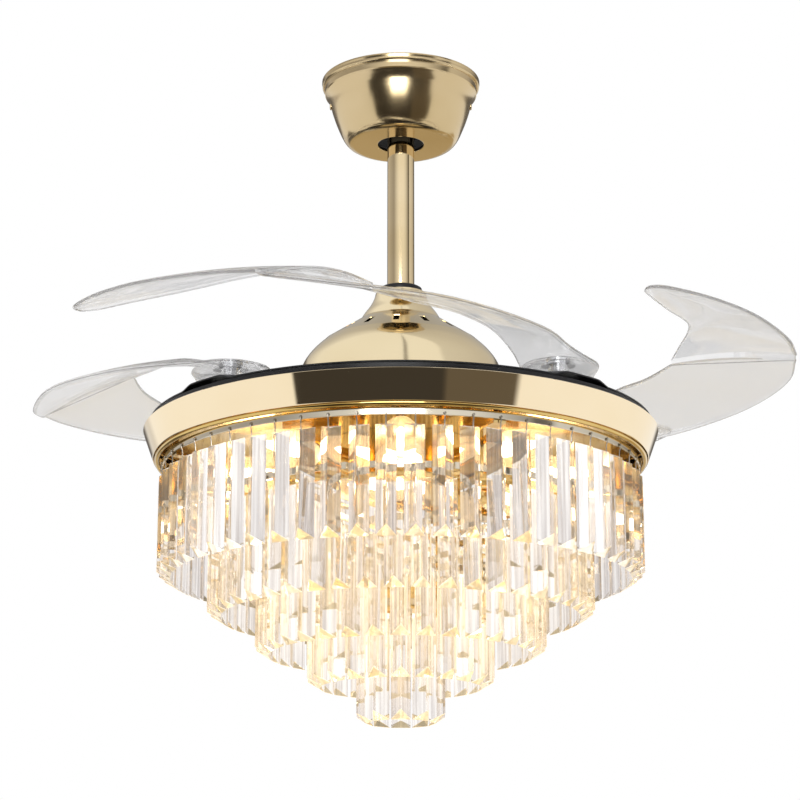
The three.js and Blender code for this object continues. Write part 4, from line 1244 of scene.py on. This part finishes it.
@dataclass
class LampHousing(SubAssembly):
    """Gold band, pan, lamp drum with its holders, and the candle bulbs."""

    band: float = 247.5
    band_foot: float = 238.0
    band_height: float = 27.5
    flange: float = 17.0
    sheet: float = 1.2
    gap: float = 0.3
    bead: float = 2.6
    pan: float = 222.0
    pan_rim: float = 240.0
    pan_top: float = 20.2
    shaft_hole: float = 12.8
    drum: float = 70.0
    drum_depth: float = 46.7
    drum_wall: float = 1.5
    bulbs: int = 8
    bulb_drop: float = 29.0
    bulb_turn: float = 270.0
    bulb_radius: float = 17.5
    bulb_length: float = 88.0
    core_radius: float = 6.3
    cap_radius: float = 10.0
    cap_depth: float = 22.0
    holder_radius: float = 13.0
    holder_length: float = 44.0
    holder_bore: float = 23.6
    bulb_shape: tuple = ((0.55, 0.0), (0.72, 0.06), (0.88, 0.15), (0.985, 0.27), (1.0, 0.36), (0.95, 0.48),
                         (0.82, 0.62), (0.6, 0.76), (0.36, 0.88), (0.18, 0.95), (0.08, 0.985))
    core_shape: tuple = ((0.8, 0.1), (1.0, 0.2), (0.9, 0.45), (0.45, 0.68))

    def ring(self) -> Thing:
        """Turn the conical band.

        Returns:
            The band.
        """
        flange, under, foot = self.band - self.flange, self.band_height - self.sheet, self.band_foot
        outline = [(self.band, self.band_height - 0.5), (self.band - 0.5, self.band_height),
                   (flange, self.band_height), (flange, under), (self.band - 1.8, under), (foot - self.sheet, 0.4),
                   (foot - 0.6, -0.1), (foot, 0.4)]
        return lathe("gold_band", lifted(outline), 256)

    def rolled_bead(self) -> Thing:
        """Turn the bead at the band's foot.

        Returns:
            The bead.
        """
        middle = self.band_foot - self.bead * 1.6
        rim = [(middle + self.bead * math.cos(a), self.bead * (math.sin(a) - 0.45))
               for a in (math.radians(18 * step) for step in range(20))]
        return lathe("band_bead", lifted(rim), 256)

    def tray(self) -> Thing:
        """Turn the pan with two pressed steps.

        Returns:
            The pan.
        """
        top, foot, rim = self.pan_top, self.pan_top - self.sheet, self.band_height - self.sheet - self.gap
        slope = self.pan + rim - top
        outline = [(self.shaft_hole, foot), (self.pan - 1.0, foot), (self.pan + 0.6, foot + 0.6),
                   (slope, rim - self.sheet), (self.pan_rim, rim - self.sheet), (self.pan_rim, rim),
                   (slope - 0.6, rim), (self.pan - 0.6, top), (self.shaft_hole, top)]
        return lathe("lamp_pan", lifted(outline), 200)

    def drum_shell(self, top: float) -> Thing:
        """Turn the drum that carries the holders.

        Args:
            top: height of its upper edge over the band.

        Returns:
            The drum.
        """
        wide, foot, wall = self.drum, top - self.drum_depth, self.drum_wall
        outline = [(0.0, foot), (wide - 5.0, foot), (wide - 1.5, foot + 1.5), (wide, foot + 5.0), (wide, top),
                   (wide - wall, top), (wide - wall, foot + 5.5), (wide - 5.5, foot + wall), (0.0, foot + wall)]
        return lathe("lamp_drum_shell", lifted(outline), 128)

    def holder(self) -> Thing:
        """Make one bulb holder along X, from the drum outwards.

        Returns:
            The holder.
        """
        length, wide, bore = self.holder_length, self.holder_radius, self.holder_length - self.holder_bore
        outline = [(wide, -1.0), (wide, length * 0.55), (wide - 1.2, length * 0.6), (wide - 1.2, length * 0.72),
                   (wide, length * 0.77), (wide, length), (wide - 2.0, length), (wide - 2.0, bore), (0.0, bore),
                   (0.0, -1.0)]
        return spindle("holder", outline, 40)

    def bulb(self) -> Thing:
        """Make one candle bulb along X, its tip outwards. Returns: the glass."""
        line = smooth_outline([(r * self.bulb_radius, z * self.bulb_length) for r, z in self.bulb_shape], 30)
        return spindle("bulb", [(0.0, 0.0), *line, (0.0, self.bulb_length)], 40)

    def core(self) -> Thing:
        """Make the lit core of one bulb along X.

        Returns:
            The core.
        """
        length = self.bulb_length
        line = smooth_outline([(r * self.core_radius, z * length) for r, z in self.core_shape], 12)
        return spindle("lamp_core", [(0.0, length * 0.08), *line, (0.0, length * 0.72)], 24)

    def cap(self) -> Thing:
        """Make one threaded bulb cap along X, inside its holder. Returns: the cap."""
        thread = [(self.cap_radius - 0.5 * (step % 2), step * self.cap_depth / 12) for step in range(13)]
        return spindle("cap", [(0.0, 0.0), *thread, (0.0, self.cap_depth)], 32)

    def build(self) -> None:
        """Make and place the band, pan, drum, holders and bulbs."""
        top = self.pan_top - self.sheet - self.gap
        gilt = ((self.ring(), BAND_GOLD, "housing_ring"), (self.rolled_bead(), BEAD_PAINTED_REFLECTION_GOLD, "housing_ring"),
                (self.tray(), LAMP_GOLD, "light_pan"), (self.drum_shell(top), LAMP_GOLD, "lamp_drum"))
        for thing, finish, node in gilt:
            self.place(thing, finish, Slot.POLISHED_GOLD, node)
        end = self.drum + self.holder_length
        names = [f"bulb_{k}" for k in range(1, self.bulbs + 1)]
        rings = (("bulb_holders", self.holder(), LAMP_GOLD, self.drum, Slot.POLISHED_GOLD, ["lamp_drum"]),
                 ("bulb_caps", self.cap(), STEEL, end - 22.4, Slot.LAMP, names),
                 ("candle_bulbs", self.bulb(), LAMP, end + 0.9, Slot.LAMP, names),
                 ("lamp_cores", self.core(), LAMP_CORE, end + 0.9, Slot.LAMP, names))
        for name, template, finish, radius, slot, nodes in rings:
            ring = RING_ARRAY.make(name, template, finish, self.bulbs, radius, over_band(top - self.bulb_drop),
                                   self.bulb_turn)
            self.place(ring, finish, slot, *nodes)


@dataclass
class PrismTier(SubAssembly):
    """One ring of hooked glass prisms, the first of them half a step off the X axis."""

    number: int
    radius: float
    top: float
    count: int
    twist: float
    height: float = 6.5
    sheet: float = 1.5
    edge: float = 0.3
    below: float = 5.8
    length: float = 100.0
    width: float = 19.0
    depth: float = 13.6
    over: float = 3.5
    top_slant: float = 5.0
    foot_slant: float = 8.0
    chamfer: float = 0.45
    eye: float = 0.9
    eye_height: float = 2.0
    wire_out: float = 1.5
    wire: float = 0.6

    def strip(self) -> Thing:
        """Turn the flat ring that carries the hooks.

        Returns:
            The ring.
        """
        half = self.sheet / 2
        outline = tube(self.radius - half, self.radius + half, self.top - self.height, self.top, self.edge)
        return lathe(f"tier_{self.number}_ring", lifted(outline), 160)

    def prism(self) -> Thing:
        """Cut one prism: flat back inwards, edge outwards, both ends slanted.

        Returns:
            The prism.
        """
        edge, back, half, foot = self.over, self.over - self.depth, self.width / 2, -self.length
        corners = [(back, -half, 0.0), (back, half, 0.0), (edge, 0.0, -self.top_slant),
                   (back, -half, foot), (back, half, foot), (edge, 0.0, foot + self.foot_slant)]
        faces = [(0, 2, 1), (3, 4, 5), (0, 1, 4, 3), (1, 2, 5, 4), (2, 0, 3, 5)]
        prism = from_lists("prism", corners, faces, None)
        bevel = prism.modifiers.new("chamfer", "BEVEL")
        bevel.width = self.chamfer * MM
        bevel.segments = 1
        bevel.limit_method = "NONE"
        settle(prism)
        clean(prism, None)
        return prism

    def hook(self) -> Thing:
        """Bend one wire hook, from its eye on the strip down into the prism.

        Returns:
            The hook.
        """
        out, turns = self.wire_out, [math.radians(40 * step) for step in range(9)]
        eye = [(out, self.eye * math.sin(a), self.eye_height + self.eye * math.cos(a)) for a in turns]
        grip = -self.below - self.top_slant * 0.75 - 3.0
        stem = [(out, 0.0, 0.9), (1.3, 0.0, -1.5), (0.3, 0.0, -3.6), (0.0, 0.0, grip)]
        return sweep("hook", [Vector(point) for point in eye + stem], self.wire, 6)

    def build(self) -> None:
        """Make and place ring, hooks and prisms."""
        tier, node, level = f"tier_{self.number}", f"prism_tier_{self.number}", over_band(self.top - self.height)
        first_turn = 180.0 / self.count
        self.place(self.strip(), RING_GOLD, Slot.POLISHED_GOLD, node)
        hooks = RING_ARRAY.make(f"{tier}_hooks", self.hook(), WIRE, self.count, self.radius, level, first_turn)
        self.place(hooks, WIRE, Slot.STEEL, node)
        prisms = RING_ARRAY.make(f"{tier}_prisms", self.prism(), CRYSTAL, self.count, self.radius,
                                 level - self.below, first_turn, self.twist, 40 + self.number)
        self.place(prisms, CRYSTAL, Slot.CRYSTAL, node)


@dataclass
class PrismTiers:
    """The five tiers, each narrower and lower than the one before, as (radius, top, count, twist)."""

    tiers: tuple = ((228.5, -3.7, 56, 4.0), (180.5, -39.75, 45, 4.0), (134.5, -74.72, 34, 3.5),
                    (85.5, -104.74, 22, 2.5), (40.5, -137.7, 10, 0.5))

    def build(self) -> None:
        """Make every tier."""
        for number, sizes in enumerate(self.tiers, 1):
            PrismTier(number, *sizes).build()


@dataclass
class CarriedOver:
    """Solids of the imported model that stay, with their own finishes."""

    def build(self) -> None:
        """Give each kept solid a finish after its slot."""
        finishes = {Slot.STEEL: STEEL, Slot.SATIN_GOLD: SATIN_GOLD, Slot.POLISHED_GOLD: LAMP_GOLD, Slot.BLACK: BLACK,
                    Slot.NYLON: NYLON, Slot.WHITE: WHITE, Slot.IRON: CORE_IRON, Slot.MAGNET: FERRITE,
                    Slot.ACRYLIC: ACRYLIC, Slot.CRYSTAL: CRYSTAL, Slot.LAMP: LAMP}
        slots = {row["node"]: Slot(row["material_slot"]) for row in frame["record"]["subparts"]}
        for name, node in frame["nodes"].items():
            node.data.materials.clear()
            node.data.materials.append(finishes[slots[name]].material())
            LOG.info("%s keeps its solid: %s", name, not node.hide_render)


# Studio

BLACKNESS: Colour = (0.0, 0.0, 0.0)
WHITENESS: Colour = (1.0, 1.0, 1.0)
CARD: Colour = (0.05, 0.045, 0.04)
CARD_EDGE: Colour = (0.13, 0.11, 0.085)
GREY_20: Colour = (0.16, 0.15, 0.14)
GREY_40: Colour = (0.4, 0.39, 0.38)
WARM_40: Colour = (0.46, 0.38, 0.22)
WARM_60: Colour = (0.6, 0.49, 0.3)
GREY_60: Colour = (0.62, 0.6, 0.58)
GREY_75: Colour = (0.75, 0.74, 0.73)
GREY_85: Colour = (0.85, 0.85, 0.85)


@dataclass
class Studio:
    """Pale floor, soft light and the camera at the photograph's place. Lengths are metres.

    Each ring of the room has its lower edge, from -1 to 1, and its colours by degrees round the fan.
    """

    camera_back: float = 2.24012
    camera_height: float = -0.93233
    pitch: float = 15.062
    lens: float = 107.61
    sensor: float = 36.0
    shift: float = -0.001
    floor_height: float = -4.8
    floor_half: float = 20.0
    ring_blend: float = 0.01
    clearness: float = 0.86
    light_aim: tuple = (0.0, 0.0, -0.35)
    lights: tuple = (("left_softbox", (-1.7, -1.5, 0.3), 0.9, 22.0, False),
                     ("right_softbox", (1.9, -1.2, 0.1), 0.8, 16.0, False),
                     ("top_softbox", (0.1, 0.3, 1.6), 1.0, 14.0, False),
                     ("canopy_softbox", (-0.09, -1.5, -0.09), 0.7, 7.0, True))
    rings: tuple = (
        (-1.0, ((-180, WARM_40), (0, WARM_40), (180, WARM_40))),
        (-0.87, ((-180, WARM_60), (-165, WARM_60), (-160, GREY_20), (-128, GREY_20), (-124, WHITENESS),
                 (-49, WHITENESS), (-48, CARD), (19, CARD), (21, CARD_EDGE), (53, CARD_EDGE), (54, WHITENESS),
                 (128, WHITENESS), (134, WARM_60), (180, WARM_60))),
        (-0.2, ((-180, GREY_75), (-148, GREY_75), (-142, WHITENESS), (-54, WHITENESS), (-50, CARD), (-26, CARD),
                (-20, WHITENESS), (10, WHITENESS), (18, CARD), (46, CARD_EDGE), (52, WHITENESS),
                (160, WHITENESS), (168, GREY_60), (180, GREY_60))),
        (0.15, ((-180, GREY_20), (-150, GREY_20), (-135, GREY_60), (-60, GREY_40), (-30, GREY_85), (-14, WHITENESS),
                (24, WHITENESS), (40, GREY_85), (62, GREY_40), (66, GREY_20), (74, GREY_20), (78, GREY_85),
                (120, GREY_60), (140, GREY_20), (180, GREY_20))),
        (0.4, ((-180, GREY_40), (-150, GREY_60), (-120, WHITENESS), (3, WHITENESS), (4, GREY_40), (8, GREY_40),
               (9, WHITENESS), (50, WHITENESS), (56, GREY_75), (140, GREY_60), (180, GREY_40))),
    )

    def camera(self) -> None:
        """Set the camera low in front of the fan, looking up."""
        data = bpy.data.cameras.new("photo_camera")
        data.lens, data.sensor_width, data.shift_x, data.clip_end = self.lens, self.sensor, self.shift, 100.0
        camera = linked("photo_camera", data)
        camera.location = (0.0, -self.camera_back, self.camera_height)
        camera.rotation_euler = (math.radians(90 + self.pitch), 0.0, 0.0)
        bpy.context.scene.camera = camera

    def floor(self) -> None:
        """Lay the pale floor far below."""
        half, level = self.floor_half / MM, self.floor_height / MM
        corners = [(x * half, y * half, level) for x, y in ((-1, -1), (1, -1), (1, 1), (-1, 1))]
        floor = from_lists("studio_floor", corners, [(0, 1, 2, 3)], None)
        material = bpy.data.materials.new("pale_floor")
        material.use_nodes = True
        sheet = NodeSheet(material.node_tree)
        dust = sheet.ramp(sheet.noise(2.0, 2.0, 3.0), (0.3, (0.86, 0.86, 0.86)), (0.7, (0.9, 0.9, 0.9)))
        sheet.feed(material.node_tree.nodes["Principled BSDF"], {"Base Color": dust, "Roughness": 0.8})
        floor.data.materials.append(material)
        floor.visible_glossy = floor.visible_transmission = False

    def surroundings(self) -> None:
        """Wrap the fan in a white room with two side softboxes and a dark camera side."""
        world = bpy.data.worlds.new("studio_room")
        bpy.context.scene.world = world
        world.use_nodes = True
        world.node_tree.nodes.clear()
        sheet = NodeSheet(world.node_tree)
        where = sheet.add("ShaderNodeTexCoord").outputs["Generated"]
        x, y, z = sheet.add("ShaderNodeSeparateXYZ", {0: where}).outputs
        turn = sheet.math("DEGREES", sheet.math("ARCTAN2", x, sheet.math("MULTIPLY", y, -1.0)))
        place = sheet.math("MULTIPLY_ADD", turn, 1.0 / 360.0, 0.5)
        height = sheet.math("MULTIPLY_ADD", z, 0.5, 0.5)
        colours = [sheet.ramp(place, *((degrees / 360.0 + 0.5, colour) for degrees, colour in stops))
                   for _, stops in self.rings]
        room = colours[0]
        for (low, _), ring in zip(self.rings[1:], colours[1:]):
            edge = low / 2 + 0.5
            above = sheet.ramp(height, (edge - self.ring_blend, BLACKNESS), (edge + self.ring_blend, WHITENESS))
            room = sheet.add("ShaderNodeMix", {"Factor": above, 6: room, 7: ring}, data_type="RGBA").outputs[2]
        lit = sheet.out("ShaderNodeBackground", {"Color": room, "Strength": 1.0})
        backdrop = sheet.out("ShaderNodeBackground", {"Color": (*WHITENESS, 1.0), "Strength": 1.0})
        ray = sheet.add("ShaderNodeLightPath").outputs
        seen = sheet.math("MULTIPLY_ADD", ray["Is Transmission Ray"], self.clearness, ray["Is Camera Ray"])
        choice = sheet.out("ShaderNodeMixShader", {"Fac": seen, 1: lit, 2: backdrop})
        sheet.add("ShaderNodeOutputWorld", {"Surface": choice})

    def softbox(self, name: str, place: Sequence[float], size: float, watts: float, mirrored: bool) -> None:
        """Hang an area light that faces the fan.

        Args:
            name: the light's name.
            place: where it hangs.
            size: its side.
            watts: its power.
            mirrored: whether the metal shows it.
        """
        data = bpy.data.lights.new(name, "AREA")
        data.size, data.energy = size, watts
        light = linked(name, data)
        light.location = place
        light.rotation_euler = (Vector(place) - Vector(self.light_aim)).to_track_quat("Z", "Y").to_euler()
        light.visible_glossy = mirrored
        light.visible_camera = light.visible_transmission = False

    def build(self) -> None:
        """Set up camera, floor, room and lights."""
        scene = bpy.context.scene
        scene.view_settings.view_transform = "Standard"
        scene.cycles.max_bounces = scene.cycles.transmission_bounces = 28
        scene.cycles.transparent_max_bounces = 16
        self.camera()
        self.floor()
        self.surroundings()
        for light in self.lights:
            self.softbox(*light)


def main() -> None:
    """Build the fan from the ceiling down, then the studio."""
    logging.basicConfig(level=logging.INFO, format="%(name)s: %(message)s")
    builders: list[Callable[[], None]] = [
        CeilingMount().build, DownRod().build, MotorDome().build, RotorDisc().build, FoldingBlade().build,
        LampHousing().build, PrismTiers().build, CarriedOver().build, Studio().build,
    ]
    for build in builders:
        build()


if __name__ == "__main__":
    main()
